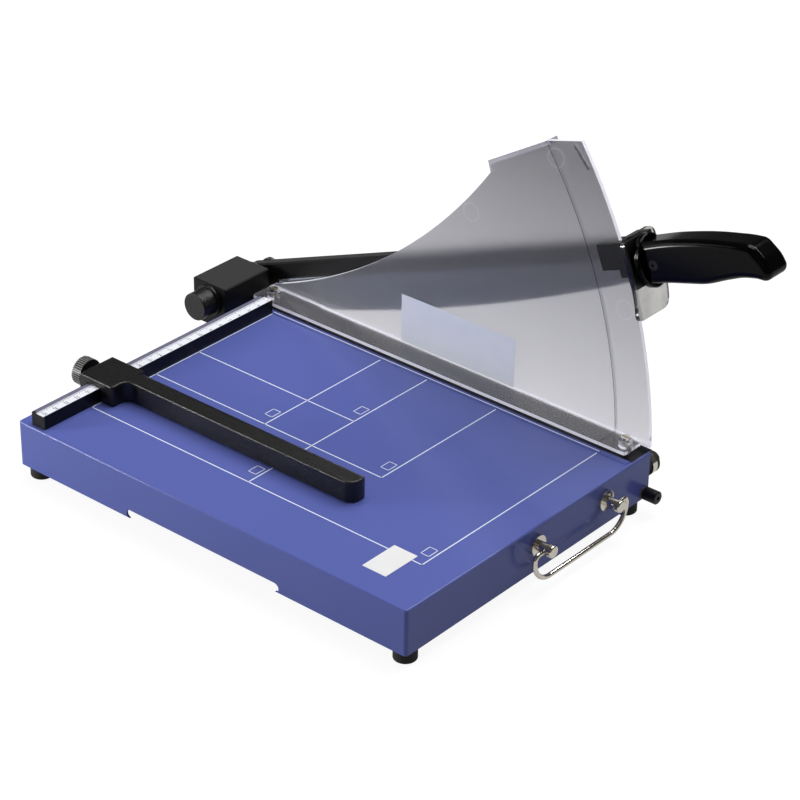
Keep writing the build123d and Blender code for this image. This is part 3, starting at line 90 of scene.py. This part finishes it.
def mottle(shader, patch, light, dark):
    """Let the base colour drift between two close colours over patches of this size."""
    tree = shader.id_data
    place = add(tree, "ShaderNodeTexCoord")
    patches = add(tree, "ShaderNodeTexNoise", place.outputs["Object"], 1 / patch)
    drift = add(tree, "ShaderNodeMix", patches, colour(light), colour(dark), data_type="RGBA")
    feed(shader.inputs["Base Color"], drift)
    return drift


def roughen(shader, size, depth, strength):
    """Raise a fine grain of this size and depth on the surface."""
    tree = shader.id_data
    place = add(tree, "ShaderNodeTexCoord")
    grain = add(tree, "ShaderNodeTexNoise", place.outputs["Object"], 1 / size)
    raised = add(tree, "ShaderNodeBump", Strength=strength, Distance=depth, Height=grain)
    feed(shader.inputs["Normal"], raised)


def dress(made, *names):
    """Give CAD nodes their finish."""
    for name in names:
        nodes[name].data.materials.clear()
        nodes[name].data.materials.append(made)


enamel, shader = finish_named("blue_stove_enamel", Roughness=0.2, Specular_IOR_Level=0.26)
mottle(shader, patch=90 * MM, light=ENAMEL_BLUE, dark=ENAMEL_SHADE)
roughen(shader, size=ORANGE_PEEL, depth=0.02 * MM, strength=0.35)
dress(enamel, "table_top")

# Cut edge strip: a low ridge beside the cut, pressed up from the table's sheet. It is enamelled
# with the table, so its rounded edges catch the same soft light.
FENCE_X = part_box("ruler_rail")[1][0]
CUT_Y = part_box("bed_knife")[1][1]
TOP_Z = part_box("table_top")[1][2]
STRIP_LIFT = 0.4 * MM
STRIP_BACK = 22.9 * MM
STRIP_FRONT = 28.0 * MM
STRIP_END = 320.8 * MM
STRIP_BEVEL = 0.15 * MM


def piece(name, made, material):
    """Turn a finished bmesh into an object with its material."""
    mesh = bpy.data.meshes.new(name)
    made.to_mesh(mesh)
    made.free()
    mesh.materials.append(material)
    made_object = bpy.data.objects.new(name, mesh)
    bpy.context.scene.collection.objects.link(made_object)
    return made_object


strip = bmesh.new()
low = (FENCE_X, CUT_Y - STRIP_FRONT, TOP_Z)
high = (FENCE_X + STRIP_END, CUT_Y - STRIP_BACK, TOP_Z + STRIP_LIFT)
bmesh.ops.create_cube(strip, size=1.0)
for corner in strip.verts:
    corner.co = [a + (b - a) * (share + 0.5) for a, b, share in zip(low, high, corner.co)]
middle_z = TOP_Z + STRIP_LIFT / 2
rim = [edge for edge in strip.edges if all(end.co.z > middle_z for end in edge.verts)]
bmesh.ops.bevel(strip, geom=rim, offset=STRIP_BEVEL, segments=2, affect="EDGES")
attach(piece("cut_edge_strip", strip, enamel), "base")

# Format lines: screen printed on the enamel for the common paper sizes, the first one on the
# cut edge strip. The ink is a matt white, very slightly cloudy where it covers the blue thinly.
LINE_WIDTH = 0.9 * MM
INK_LIFT = 0.05 * MM
ACROSS = {"edge": 1.0, "sixth": 105.0, "fifth": 148.0, "half": 210.0, "full": 297.0}
DEEP = {"start": 25.8, "sixth": 105.0, "fifth": 148.0, "full": 210.0}
FORMAT_LINES = [
    (("edge", "start"), ("edge", "full")),
    (("sixth", "start"), ("sixth", "fifth")),
    (("fifth", "start"), ("fifth", "full")),
    (("half", "start"), ("half", "fifth")),
    (("full", "start"), ("full", "full")),
    (("edge", "start"), ("full", "start")),
    (("edge", "sixth"), ("fifth", "sixth")),
    (("edge", "fifth"), ("half", "fifth")),
    (("edge", "full"), ("full", "full")),
]


def flat_quad(made, x0, y0, x1, y1, z):
    """Add one flat rectangle to a mesh being built."""
    corners = [made.verts.new(p) for p in ((x0, y0, z), (x1, y0, z), (x1, y1, z), (x0, y1, z))]
    made.faces.new(corners)


def stroke(made, start, end, width, z):
    """A printed line between two points, widened by half its width at each end."""
    half = width / 2
    low = (min(start[0], end[0]) - half, min(start[1], end[1]) - half)
    high = (max(start[0], end[0]) + half, max(start[1], end[1]) + half)
    flat_quad(made, *low, *high, z)


def on_bed(across, deep):
    """A point on the table, from the fence and from the cut."""
    return (FENCE_X + ACROSS[across] * MM, CUT_Y - DEEP[deep] * MM)


ink, shader = finish_named("white_screen_ink", Roughness=0.45)
mottle(shader, patch=4 * MM, light="E8F0FF", dark="E2EAFC")
lines = bmesh.new()
for start, end in FORMAT_LINES:
    on_strip = start[1] == end[1] == "start"
    lift = STRIP_LIFT + INK_LIFT if on_strip else INK_LIFT
    stroke(lines, on_bed(*start), on_bed(*end), LINE_WIDTH, TOP_Z + lift)
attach(piece("format_lines", lines, ink), "base")

# Page marks: a small upright page in the corner of each paper size, printed with the lines and
# in the same ink, in a thinner stroke.
PAGE_MARKS = [
    ("sixth", "fifth"),
    ("fifth", "sixth"),
    ("fifth", "full"),
    ("half", "fifth"),
    ("full", "full"),
]
PAGE_WIDTH = 6.6 * MM
PAGE_HEIGHT = 9.0 * MM
PAGE_SIDE_INSET = 2.8 * MM
PAGE_FRONT_INSET = 10.0 * MM
MARK_LINE = 0.6 * MM
marks = bmesh.new()
for across, deep in PAGE_MARKS:
    corner_x, corner_y = on_bed(across, deep)
    right, front = corner_x - PAGE_SIDE_INSET, corner_y + PAGE_FRONT_INSET
    left, back = right - PAGE_WIDTH, front + PAGE_HEIGHT
    for start, end in (
        ((left, front), (right, front)),
        ((left, back), (right, back)),
        ((left, front), (left, back)),
        ((right, front), (right, back)),
    ):
        stroke(marks, start, end, MARK_LINE, TOP_Z + INK_LIFT)
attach(piece("page_marks", marks, ink), "base")

# Stiffeners, spacers and the lock's bracket: bare cold rolled steel, spot welded or screwed
# under the table. It has a dull grey sheen with a faint rolled grain.
plain_steel, shader = finish_named("cold_rolled_steel", Metallic=1.0, Roughness=0.42)
mottle(shader, patch=12 * MM, light="A9ABAE", dark="9A9CA0")
roughen(shader, size=0.8 * MM, depth=0.01 * MM, strength=0.3)
dress(plain_steel, "front_channel", "rear_channel", "bed_bar_spacers", "lock_bracket")

# Feet and the ring of the arm's stop: moulded rubber buffers, held by screws. They are matt
# black, with the dust grey of a moulded skin.
rubber, shader = finish_named("moulded_rubber", Roughness=0.78)
mottle(shader, patch=3 * MM, light="1B1A19", dark="24211E")
roughen(shader, size=0.4 * MM, depth=0.03 * MM, strength=0.5)
dress(
    rubber,
    "foot_front_left",
    "foot_front_right",
    "foot_rear_left",
    "foot_rear_right",
    "stop_ring",
)

# Fasteners and the pivot's shaft: zinc plated steel screws, nuts and washers that hold the
# table, knives, ruler and pivot together. The plating is pale grey and slightly cloudy.
zinc, shader = finish_named("zinc_plated_steel", Metallic=1.0, Roughness=0.3)
mottle(shader, patch=1.5 * MM, light="C6C8CC", dark="B4B7BC")
roughen(shader, size=0.25 * MM, depth=0.01 * MM, strength=0.3)
dress(
    zinc,
    "foot_screws",
    "foot_nuts",
    "bed_knife_screws",
    "ruler_screws",
    "blade_screws",
    "pivot_block_bolts",
    "pivot_block_screw",
    "pivot_nut",
    "pivot_shaft",
    "thrust_washer",
    "carry_nuts",
    "pressure_shoe",
)

# Bed bar: a drawn steel bar with a black oxide finish, the far strip of the working surface.
# It is dark and slightly glossy, with the fine grain of drawn bar.
blackened, shader = finish_named("blackened_steel_bar", Roughness=0.4, Specular_IOR_Level=0.25)
mottle(shader, patch=20 * MM, light="08080D", dark="0E0E14")
roughen(shader, size=0.7 * MM, depth=0.015 * MM, strength=0.4)
dress(blackened, "bed_bar")

# Knives: two strips of hardened tool steel, screwed on and ground along their length. The
# moving one is bright, streaked by the grinding, and the fixed one is blued and dark.
knife_steel, shader = finish_named(
    "ground_tool_steel", Metallic=1.0, Roughness=0.24, Anisotropic=0.6
)
mottle(shader, patch=6 * MM, light="BFC3C9", dark="AEB2B9")
roughen(shader, size=0.3 * MM, depth=0.006 * MM, strength=0.4)
dress(knife_steel, "upper_blade")

blued, shader = finish_named("blued_tool_steel", Metallic=1.0, Roughness=0.3)
mottle(shader, patch=6 * MM, light="3A3B44", dark="2F3038")
roughen(shader, size=0.3 * MM, depth=0.006 * MM, strength=0.4)
dress(blued, "bed_knife")

# Bright fittings: turned or bent steel parts, nickel plated after shaping. The plating is a
# warm mirror with small flow marks.
nickel, shader = finish_named("nickel_plated_steel", Metallic=1.0, Roughness=0.1)
mottle(shader, patch=3 * MM, light="EBE5DA", dark="D3CBBC")
roughen(shader, size=0.9 * MM, depth=0.008 * MM, strength=0.25)
dress(
    nickel,
    "stop_washer",
    "stop_bolt",
    "shield_posts",
    "carry_studs",
    "carry_washers",
    "carrying_bail",
)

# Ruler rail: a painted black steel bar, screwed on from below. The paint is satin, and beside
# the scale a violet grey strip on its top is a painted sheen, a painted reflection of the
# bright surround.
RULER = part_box("ruler_rail")
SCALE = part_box("ruler_scale")
SHEEN_LIFT = 0.03 * MM
SHEEN_INSET = 1.2 * MM
SHEEN_GAP = 0.2 * MM
rail_paint, shader = finish_named("satin_black_paint", Roughness=0.34, Specular_IOR_Level=0.25)
mottle(shader, patch=15 * MM, light="08080C", dark="0D0D12")
roughen(shader, size=0.6 * MM, depth=0.012 * MM, strength=0.4)
dress(rail_paint, "ruler_rail")

# Painted sheen: a violet grey quad laid on the rail's top beside the scale.
painted_sheen, shader = finish_named("painted_violet_grey_sheen", Roughness=0.3)
mottle(shader, patch=12 * MM, light="74738A", dark="6B6A84")
sheen = bmesh.new()
flat_quad(
    sheen,
    RULER[0][0] + SHEEN_INSET,
    RULER[0][1] + SHEEN_INSET,
    SCALE[0][0] - SHEEN_GAP,
    RULER[1][1] - SHEEN_INSET,
    RULER[1][2] + SHEEN_LIFT,
)
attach(piece("rail_sheen_strip", sheen, painted_sheen), "base")

# Scale: a white printed strip let into the rail's top, with a millimetre division measured
# from the cut. Film and ink are satin, the black a little greyed by wear.
TICK_WIDTH = 0.3 * MM
TICK_INSET = 0.3 * MM
TICK_LENGTHS = {1: 1.5 * MM, 5: 2.2 * MM, 10: 2.9 * MM}
FONT_SIZE = 3.78 * MM
DIGIT_INSET = 0.5 * MM
SCALE_INK_Z = SCALE[1][2] + 0.03 * MM
scale_film, shader = finish_named("white_printed_scale", Roughness=0.4)
mottle(shader, patch=8 * MM, light="F6F7FC", dark="ECEEF8")
dress(scale_film, "ruler_scale")

scale_ink, shader = finish_named("black_scale_ink", Roughness=0.5)
mottle(shader, patch=2 * MM, light="14151D", dark="20222C")
ticks = bmesh.new()
tick_start = SCALE[0][0] + TICK_INSET
first_mm = math.ceil((CUT_Y - SCALE[1][1]) / MM)
last_mm = math.floor((CUT_Y - SCALE[0][1]) / MM)
for step in range(first_mm, last_mm + 1):
    kind = 10 if step % 10 == 0 else 5 if step % 5 == 0 else 1
    low_y = CUT_Y - step * MM - TICK_WIDTH / 2
    tick_end = tick_start + TICK_LENGTHS[kind]
    flat_quad(ticks, tick_start, low_y, tick_end, low_y + TICK_WIDTH, SCALE_INK_Z)
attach(piece("scale_ticks", ticks, scale_ink), "base")

for number in range(math.ceil(first_mm / 10), last_mm // 10 + 1):
    words = bpy.data.curves.new(f"scale_number_{number}", "FONT")
    words.body = str(number)
    words.size = FONT_SIZE
    words.align_x = "RIGHT"
    words.align_y = "CENTER"
    words.materials.append(scale_ink)
    digits = bpy.data.objects.new(f"scale_number_{number}", words)
    bpy.context.scene.collection.objects.link(digits)
    digits.location = (SCALE[1][0] - DIGIT_INSET, CUT_Y - number * 10 * MM, SCALE_INK_Z)
    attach(digits, "base")

# Labels: two blank satin films, a white vinyl one on the table's corner and a pale blue one on
# the shield. The blue film lets some light through, which is drawn as a slight glow, so that it
# looks grey and not black from behind the shield.
FILM_GLOW = 0.13
label_film, shader = finish_named("white_vinyl_film", Roughness=0.42)
mottle(shader, patch=10 * MM, light="F2F2F0", dark="E8E8E8")
dress(label_film, "table_label")

blue_film, shader = finish_named(
    "pale_blue_film",
    Roughness=0.35,
    Emission_Color=colour("E8ECF6"),
    Emission_Strength=FILM_GLOW,
)
mottle(shader, patch=14 * MM, light="D9DDE6", dark="CFD4E2")
dress(blue_film, "shield_label")

# Backgauge and pivot cap: mouldings in glass filled nylon, charcoal black. They carry the spark
# eroded texture of the mould, drawn coarser than its real 0.3 mm so that it shows.
SPARK_GRAIN = 1.3 * MM
SPARK_DEPTH = 0.45 * MM
nylon, shader = finish_named("textured_black_nylon", Roughness=0.3, Specular_IOR_Level=0.42)
mottle(shader, patch=SPARK_GRAIN, light="040404", dark="21201E")
roughen(shader, size=SPARK_GRAIN, depth=SPARK_DEPTH, strength=0.8)
dress(nylon, "backgauge", "pivot_cap")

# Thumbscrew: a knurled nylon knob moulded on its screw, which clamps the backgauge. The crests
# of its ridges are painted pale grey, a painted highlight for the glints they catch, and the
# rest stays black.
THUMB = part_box("thumbscrew")
THUMB_AXIS = (0, (THUMB[0][1] + THUMB[1][1]) / 2, (THUMB[0][2] + THUMB[1][2]) / 2)
RIDGE_DEPTH = 0.2 * MM
CREST_RADIUS = (THUMB[1][2] - THUMB[0][2]) / 2 - RIDGE_DEPTH
CREST_HIGHLIGHT = "7C7C7A"
crest_lit_nylon, shader = finish_named("black_nylon_painted_crest_highlight", Roughness=0.34, Specular_IOR_Level=0.4)
tree = shader.id_data
black_knob = mottle(shader, patch=20 * MM, light="101010", dark="151514")
place = add(tree, "ShaderNodeTexCoord")
spot = add(tree, "ShaderNodeSeparateXYZ", place.outputs["Object"])
in_section = add(tree, "ShaderNodeCombineXYZ", Y=spot.outputs["Y"], Z=spot.outputs["Z"])
away = add(tree, "ShaderNodeVectorMath", in_section, THUMB_AXIS, operation="DISTANCE")
# Painted highlight: faces beyond the crest radius are coloured pale grey.
on_crest = add(tree, "ShaderNodeMath", away, CREST_RADIUS, operation="GREATER_THAN")
highlighted = add(tree, "ShaderNodeMix", on_crest, black_knob, colour(CREST_HIGHLIGHT), data_type="RGBA")
feed(shader.inputs["Base Color"], highlighted)
dress(crest_lit_nylon, "thumbscrew")

# Blade arm and yoke: aluminium castings with a satin black powder coat, screwed together. The
# coat has a fine pebbled skin.
powder, shader = finish_named("black_powder_coat", Roughness=0.4, Specular_IOR_Level=0.3)
mottle(shader, patch=25 * MM, light="0F0F0F", dark="151414")
roughen(shader, size=0.7 * MM, depth=0.05 * MM, strength=0.5)
dress(powder, "arm_beam", "handle_yoke")

# Pivot block: a casting with the same coat, bolted to the table's side. Its flat top is painted
# a lighter grey, a painted sheen of the light from above.
FLAT_TOP = 0.9
TOP_SHEEN = "3A3A3A"
top_sheen_coat, shader = finish_named("powder_coat_painted_top_sheen", Roughness=0.4, Specular_IOR_Level=0.2)
tree = shader.id_data
plain_coat = mottle(shader, patch=25 * MM, light="0F0F0F", dark="151414")
roughen(shader, size=0.7 * MM, depth=0.05 * MM, strength=0.5)
place = add(tree, "ShaderNodeTexCoord")
# Painted sheen: faces that look up are coloured a lighter grey.
facing = add(tree, "ShaderNodeSeparateXYZ", place.outputs["Normal"])
on_top = add(tree, "ShaderNodeMath", facing.outputs["Z"], FLAT_TOP, operation="GREATER_THAN")
sheened = add(tree, "ShaderNodeMix", on_top, plain_coat, colour(TOP_SHEEN), data_type="RGBA")
feed(shader.inputs["Base Color"], sheened)
dress(top_sheen_coat, "pivot_block")

# Bearings: sintered bronze bushes pressed into the pivot block and the lock's bracket. They are
# dull gold and slightly porous.
bronze, shader = finish_named("sintered_bronze", Metallic=1.0, Roughness=0.45)
mottle(shader, patch=2 * MM, light="A8814E", dark="8E6B3E")
roughen(shader, size=0.3 * MM, depth=0.02 * MM, strength=0.4)
dress(bronze, "front_bush", "rear_bush", "lock_bush")

# Springs: coils of spring steel wire under the shield and in the lock, and discs on the pivot.
# The drawn wire is bright, with slightly darker patches.
spring_wire, shader = finish_named("spring_steel", Metallic=1.0, Roughness=0.28)
mottle(shader, patch=1 * MM, light="B5B5B8", dark="9C9CA0")
dress(spring_wire, "shield_spring_left", "shield_spring_right", "lock_spring", "spring_discs")

# Arm lock and the grip's screw: turned steel, chemically blacked. The blacking leaves a dark,
# oily half gloss.
blacked, shader = finish_named("chemically_blacked_steel", Metallic=0.6, Roughness=0.35)
mottle(shader, patch=2 * MM, light="1A1A1C", dark="26262A")
dress(blacked, "lock_knob", "lock_pin", "grip_screw")

# Handle grip and its collar: ABS mouldings pushed on the arm's end and held by a cross screw.
# They are deep black and glossy, with slight waves from the mould.
grip_plastic, shader = finish_named("glossy_black_abs", Roughness=0.13, Specular_IOR_Level=0.14)
mottle(shader, patch=20 * MM, light="020203", dark="040404")
roughen(shader, size=4 * MM, depth=0.02 * MM, strength=0.2)
dress(grip_plastic, "handle_grip", "handle_collar")

# Hand guard: a plate moulded in smoked polycarbonate, held between yoke and collar. It is clear
# grey with cloudy flow patches.
smoke, shader = finish_named(
    "smoked_polycarbonate", Roughness=0.12, Transmission_Weight=1.0, IOR=1.5
)
mottle(shader, patch=12 * MM, light="CCCBC8", dark="8E8D8B")
dress(smoke, "hand_guard")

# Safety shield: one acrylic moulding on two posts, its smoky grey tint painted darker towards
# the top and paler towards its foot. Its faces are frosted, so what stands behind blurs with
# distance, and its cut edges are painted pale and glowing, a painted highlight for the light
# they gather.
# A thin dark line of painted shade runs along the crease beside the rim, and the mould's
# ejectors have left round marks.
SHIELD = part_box("safety_shield")
SHIELD_FRONT = SHIELD[0][1]
SHIELD_FOOT = SHIELD[0][2]
SMOKE_TOP = "77777C"
SMOKE_FOOT = "D9D9DD"
SMOKE_FROM = SHIELD_FOOT + 4 * MM
SMOKE_TO = SHIELD_FOOT + 190 * MM
CLEARNESS = 0.97
FACE_TURN = 0.7
FACE_FROST = 0.3
EDGE_FROST = 0.16
EDGE_START = SHIELD_FOOT + 8 * MM
EDGE_HIGHLIGHT = "EBEAF3"
EDGE_GLOW = 0.38
EDGE_MILK = 0.75
LIP_TOP = SHIELD_FOOT + 3.8 * MM
LIP_FACE = SHIELD_FRONT + 1.5 * MM
LIP_DIMMED = 0.6
LIP_HAZE = 0.05
CREASE_SHADE = "4C4C54"
CREASE_SHARE = 0.8
CREASE_CENTRE = (-66.24, -13.19)
CREASE_RADIUS = 361.45 * MM
CREASE_WIDTH = 0.9 * MM
CREASE_STEP = 1.3 * MM
SLOT_CENTRE = (255.4, 196.6)
SLOT_REACH = 9.7 * MM
SLOT_RADIUS = 384.0 * MM
SLOT_BAND = 3.2 * MM
MARK_LIGHT = "EDEDF1"
MARK_SHARE = 0.14
MARK_RADIUS = 6.6 * MM
MARK_RIM = 0.7 * MM
MARKS = [(24.5, 13.9), (97.2, 61.8), (165.2, 127.8), (234.9, 189.8), (296.4, 99.1)]

acrylic, shader = finish_named("frosted_acrylic", IOR=1.49, Emission_Color=colour(EDGE_HIGHLIGHT))
tree = shader.id_data
place = add(tree, "ShaderNodeTexCoord")
spot = add(tree, "ShaderNodeSeparateXYZ", place.outputs["Object"])
facing = add(tree, "ShaderNodeSeparateXYZ", place.outputs["Normal"])
x, y, z = (spot.outputs[axis] for axis in "XYZ")

# The large faces look along Y, and what is above the foot and looks elsewhere is a cut edge.
turned = add(tree, "ShaderNodeMath", facing.outputs["Y"], operation="ABSOLUTE")
is_face = add(tree, "ShaderNodeMath", turned, FACE_TURN, operation="GREATER_THAN")
is_high = add(tree, "ShaderNodeMath", z, EDGE_START, operation="GREATER_THAN")
off_face = add(tree, "ShaderNodeMath", 1.0, is_face, operation="SUBTRACT")
cut_edge = add(tree, "ShaderNodeMath", off_face, is_high, operation="MULTIPLY")

# The foot is a lip whose face is painted pale and glowing, a painted highlight that is dimmer
# at its front, and whose top is slightly hazy.
is_low = add(tree, "ShaderNodeMath", z, LIP_TOP, operation="LESS_THAN")
is_front = add(tree, "ShaderNodeMath", y, LIP_FACE, operation="LESS_THAN")
face_light = add(tree, "ShaderNodeMath", is_front, -LIP_DIMMED, 1.0, operation="MULTIPLY_ADD")
low_face = add(tree, "ShaderNodeMath", is_face, is_low, operation="MULTIPLY")
foot_edge = add(tree, "ShaderNodeMath", low_face, face_light, operation="MULTIPLY")
upright = add(tree, "ShaderNodeMath", facing.outputs["Z"], operation="ABSOLUTE")
is_level = add(tree, "ShaderNodeMath", upright, FACE_TURN, operation="GREATER_THAN")
lip_top = add(tree, "ShaderNodeMath", is_level, is_low, operation="MULTIPLY")


def ring(across, up, radius, half_width):
    """1 on a thin ring about a point of the wall, 0 elsewhere."""
    centre = (FENCE_X + across * MM, 0, TOP_Z + up * MM)
    on_wall = add(tree, "ShaderNodeCombineXYZ", X=x, Z=z)
    away = add(tree, "ShaderNodeVectorMath", on_wall, centre, operation="DISTANCE")
    return add(tree, "ShaderNodeMath", away, radius, half_width, operation="COMPARE")


# The edges of the crease and of the slot stay dark, so the glow is kept off them.
marked = ring(*MARKS[0], MARK_RADIUS, MARK_RIM)
for across, up in MARKS[1:]:
    next_mark = ring(across, up, MARK_RADIUS, MARK_RIM)
    marked = add(tree, "ShaderNodeMath", marked, next_mark, operation="MAXIMUM")
# Painted shade: the crease is marked by a thin dark ring in the tint.
crease_shaded = ring(*CREASE_CENTRE, CREASE_RADIUS, CREASE_WIDTH / 2)
by_crease = ring(*CREASE_CENTRE, CREASE_RADIUS, CREASE_STEP)
slot_band = ring(*CREASE_CENTRE, SLOT_RADIUS, SLOT_BAND)
slot_reach = ring(*SLOT_CENTRE, 0, SLOT_REACH)
by_slot = add(tree, "ShaderNodeMath", slot_reach, slot_band, operation="MULTIPLY")
dark_edge = add(tree, "ShaderNodeMath", by_crease, by_slot, operation="MAXIMUM")
may_glow = add(tree, "ShaderNodeMath", 1.0, dark_edge, operation="SUBTRACT")
lit_edge = add(tree, "ShaderNodeMath", cut_edge, may_glow, operation="MULTIPLY")
is_edge = add(tree, "ShaderNodeMath", lit_edge, foot_edge, operation="MAXIMUM")

fade = add(tree, "ShaderNodeMapRange", z, SMOKE_FROM, SMOKE_TO)
tint = add(tree, "ShaderNodeMix", fade, colour(SMOKE_FOOT), colour(SMOKE_TOP), data_type="RGBA")
for mask, strength, shade in (
    (marked, MARK_SHARE, MARK_LIGHT),
    (crease_shaded, CREASE_SHARE, CREASE_SHADE),
    (is_edge, 1.0, EDGE_HIGHLIGHT),
):
    share = add(tree, "ShaderNodeMath", mask, strength, operation="MULTIPLY")
    tint = add(tree, "ShaderNodeMix", share, tint, colour(shade), data_type="RGBA")
# Painted highlight: the cut edges and the lip's face glow and are coloured pale.
glow = add(tree, "ShaderNodeMath", is_edge, EDGE_GLOW, operation="MULTIPLY")
haze = add(tree, "ShaderNodeMath", lip_top, -LIP_HAZE, CLEARNESS, operation="MULTIPLY_ADD")
clear = add(tree, "ShaderNodeMath", is_edge, -EDGE_MILK, haze, operation="MULTIPLY_ADD")
frost = add(tree, "ShaderNodeMath", is_face, FACE_FROST, EDGE_FROST, operation="MULTIPLY_ADD")
feed(shader.inputs["Base Color"], tint)
feed(shader.inputs["Emission Strength"], glow)
feed(shader.inputs["Transmission Weight"], clear)
feed(shader.inputs["Roughness"], frost)
dress(acrylic, "safety_shield")

# Studio floor: a wide matt board that keeps the object's shadow. It looks white to the camera
# and through the shield, a little less so close to the object, and gloss and metal mirror some
# of that white.
FLOOR_REACH = 6.0
FLOOR_MIRRORED = 0.45
GLOW_NEAR = 0.5
GLOW_FAR = 2.0
GLOW_BY_OBJECT = 0.92
floor_paint, shader = finish_named("studio_floor", Roughness=0.9, Base_Color=colour("9A9A9A"))
tree = shader.id_data
ray = add(tree, "ShaderNodeLightPath")
camera_ray, clear_ray = ray.outputs["Is Camera Ray"], ray.outputs["Is Transmission Ray"]
glossy_ray = ray.outputs["Is Glossy Ray"]
seen = add(tree, "ShaderNodeMath", camera_ray, clear_ray, operation="MAXIMUM")
mirrored = add(tree, "ShaderNodeMath", glossy_ray, FLOOR_MIRRORED, operation="MULTIPLY")
whitened = add(tree, "ShaderNodeMath", seen, mirrored, operation="MAXIMUM")
place = add(tree, "ShaderNodeTexCoord")
away = add(tree, "ShaderNodeVectorMath", place.outputs["Object"], operation="LENGTH")
bright = add(tree, "ShaderNodeMapRange", away, GLOW_NEAR, GLOW_FAR, GLOW_BY_OBJECT, 1.0)
catcher = add(tree, "ShaderNodeBsdfDiffuse", colour("666666"))
glow = add(tree, "ShaderNodeEmission", colour("FFFFFF"), bright)
lit = add(tree, "ShaderNodeAddShader", catcher, glow)
board = add(tree, "ShaderNodeMixShader", whitened, shader, lit)
feed(tree.nodes["Material Output"].inputs["Surface"], board)
floor = bmesh.new()
flat_quad(floor, -FLOOR_REACH, -FLOOR_REACH, FLOOR_REACH, FLOOR_REACH, 0)
piece("studio_floor", floor, floor_paint)

# Studio surround: white to the camera and through the shield, and an even dim light for the
# object, dimmer still where gloss and metal mirror it.
SURROUND_LIGHT = 0.22
SURROUND_MIRRORED = 0.08
world = bpy.data.worlds.new("studio_surround")
bpy.context.scene.world = world
world.use_nodes = True
tree = world.node_tree
tree.nodes.clear()
ray = add(tree, "ShaderNodeLightPath")
camera_ray, clear_ray = ray.outputs["Is Camera Ray"], ray.outputs["Is Transmission Ray"]
glossy_ray = ray.outputs["Is Glossy Ray"]
seen = add(tree, "ShaderNodeMath", camera_ray, clear_ray, operation="MAXIMUM")
dimming = SURROUND_MIRRORED - SURROUND_LIGHT
dimness = add(
    tree, "ShaderNodeMath", glossy_ray, dimming, SURROUND_LIGHT, operation="MULTIPLY_ADD"
)
dim = add(tree, "ShaderNodeBackground", colour("F2F3F8"), dimness)
white = add(tree, "ShaderNodeBackground", colour("FFFFFF"), 1.0)
surround = add(tree, "ShaderNodeMixShader", seen, dim, white)
add(tree, "ShaderNodeOutputWorld", surround)

# Lamps: soft boxes above and to the left, a weak one in front, and two narrow ones whose light
# runs along the table's front and right edges.
TABLE_MIDDLE = (0, 0, 0.05)


def soft_lamp(name, place, aim, size, power):
    """A soft box at a place, turned to its aim. Its size is width and height."""
    lamp = bpy.data.lights.new(name, "AREA")
    lamp.shape = "RECTANGLE"
    lamp.size, lamp.size_y = size
    lamp.energy = power
    lamp_object = bpy.data.objects.new(name, lamp)
    bpy.context.scene.collection.objects.link(lamp_object)
    lamp_object.location = place
    direction = Vector(aim) - Vector(place)
    lamp_object.rotation_euler = direction.to_track_quat("-Z", "Y").to_euler()


soft_lamp("overhead_box", (-0.05, 0.55, 1.7), TABLE_MIDDLE, size=(1.4, 1.4), power=27)
soft_lamp("left_box", (-1.6, -0.9, 0.7), TABLE_MIDDLE, size=(1.0, 1.0), power=5.4)
soft_lamp("edge_strip", (-0.7, -0.75, 0.17), (-0.25, -0.13, 0.04), size=(0.14, 0.24), power=5.0)
soft_lamp("rear_strip", (0.38, 0.99, 1.15), (0.1, 0, 0.04), size=(0.5, 0.06), power=2.4)
soft_lamp("front_box", (1.0, -1.6, 1.2), TABLE_MIDDLE, size=(1.0, 1.0), power=0.4)

# Camera: at the photograph's place and angle, on a long lens over a full frame, and without
# depth of field.
CAMERA_PLACE = (FENCE_X + 1212.895 * MM, CUT_Y - 1320.755 * MM, TOP_Z + 948.206 * MM)
CAMERA_TURN = (60.0529, -0.6913, 40.5108)
LENS = 123.651
FULL_FRAME = 36.0
NEAREST_SEEN = 0.05
camera = bpy.data.cameras.new("camera")
camera.lens = LENS
camera.sensor_width = FULL_FRAME
camera.clip_start = NEAREST_SEEN
camera_object = bpy.data.objects.new("camera", camera)
bpy.context.scene.collection.objects.link(camera_object)
camera_object.location = CAMERA_PLACE
camera_object.rotation_euler = [math.radians(angle) for angle in CAMERA_TURN]
bpy.context.scene.camera = camera_object
bpy.context.scene.view_settings.view_transform = "Standard"
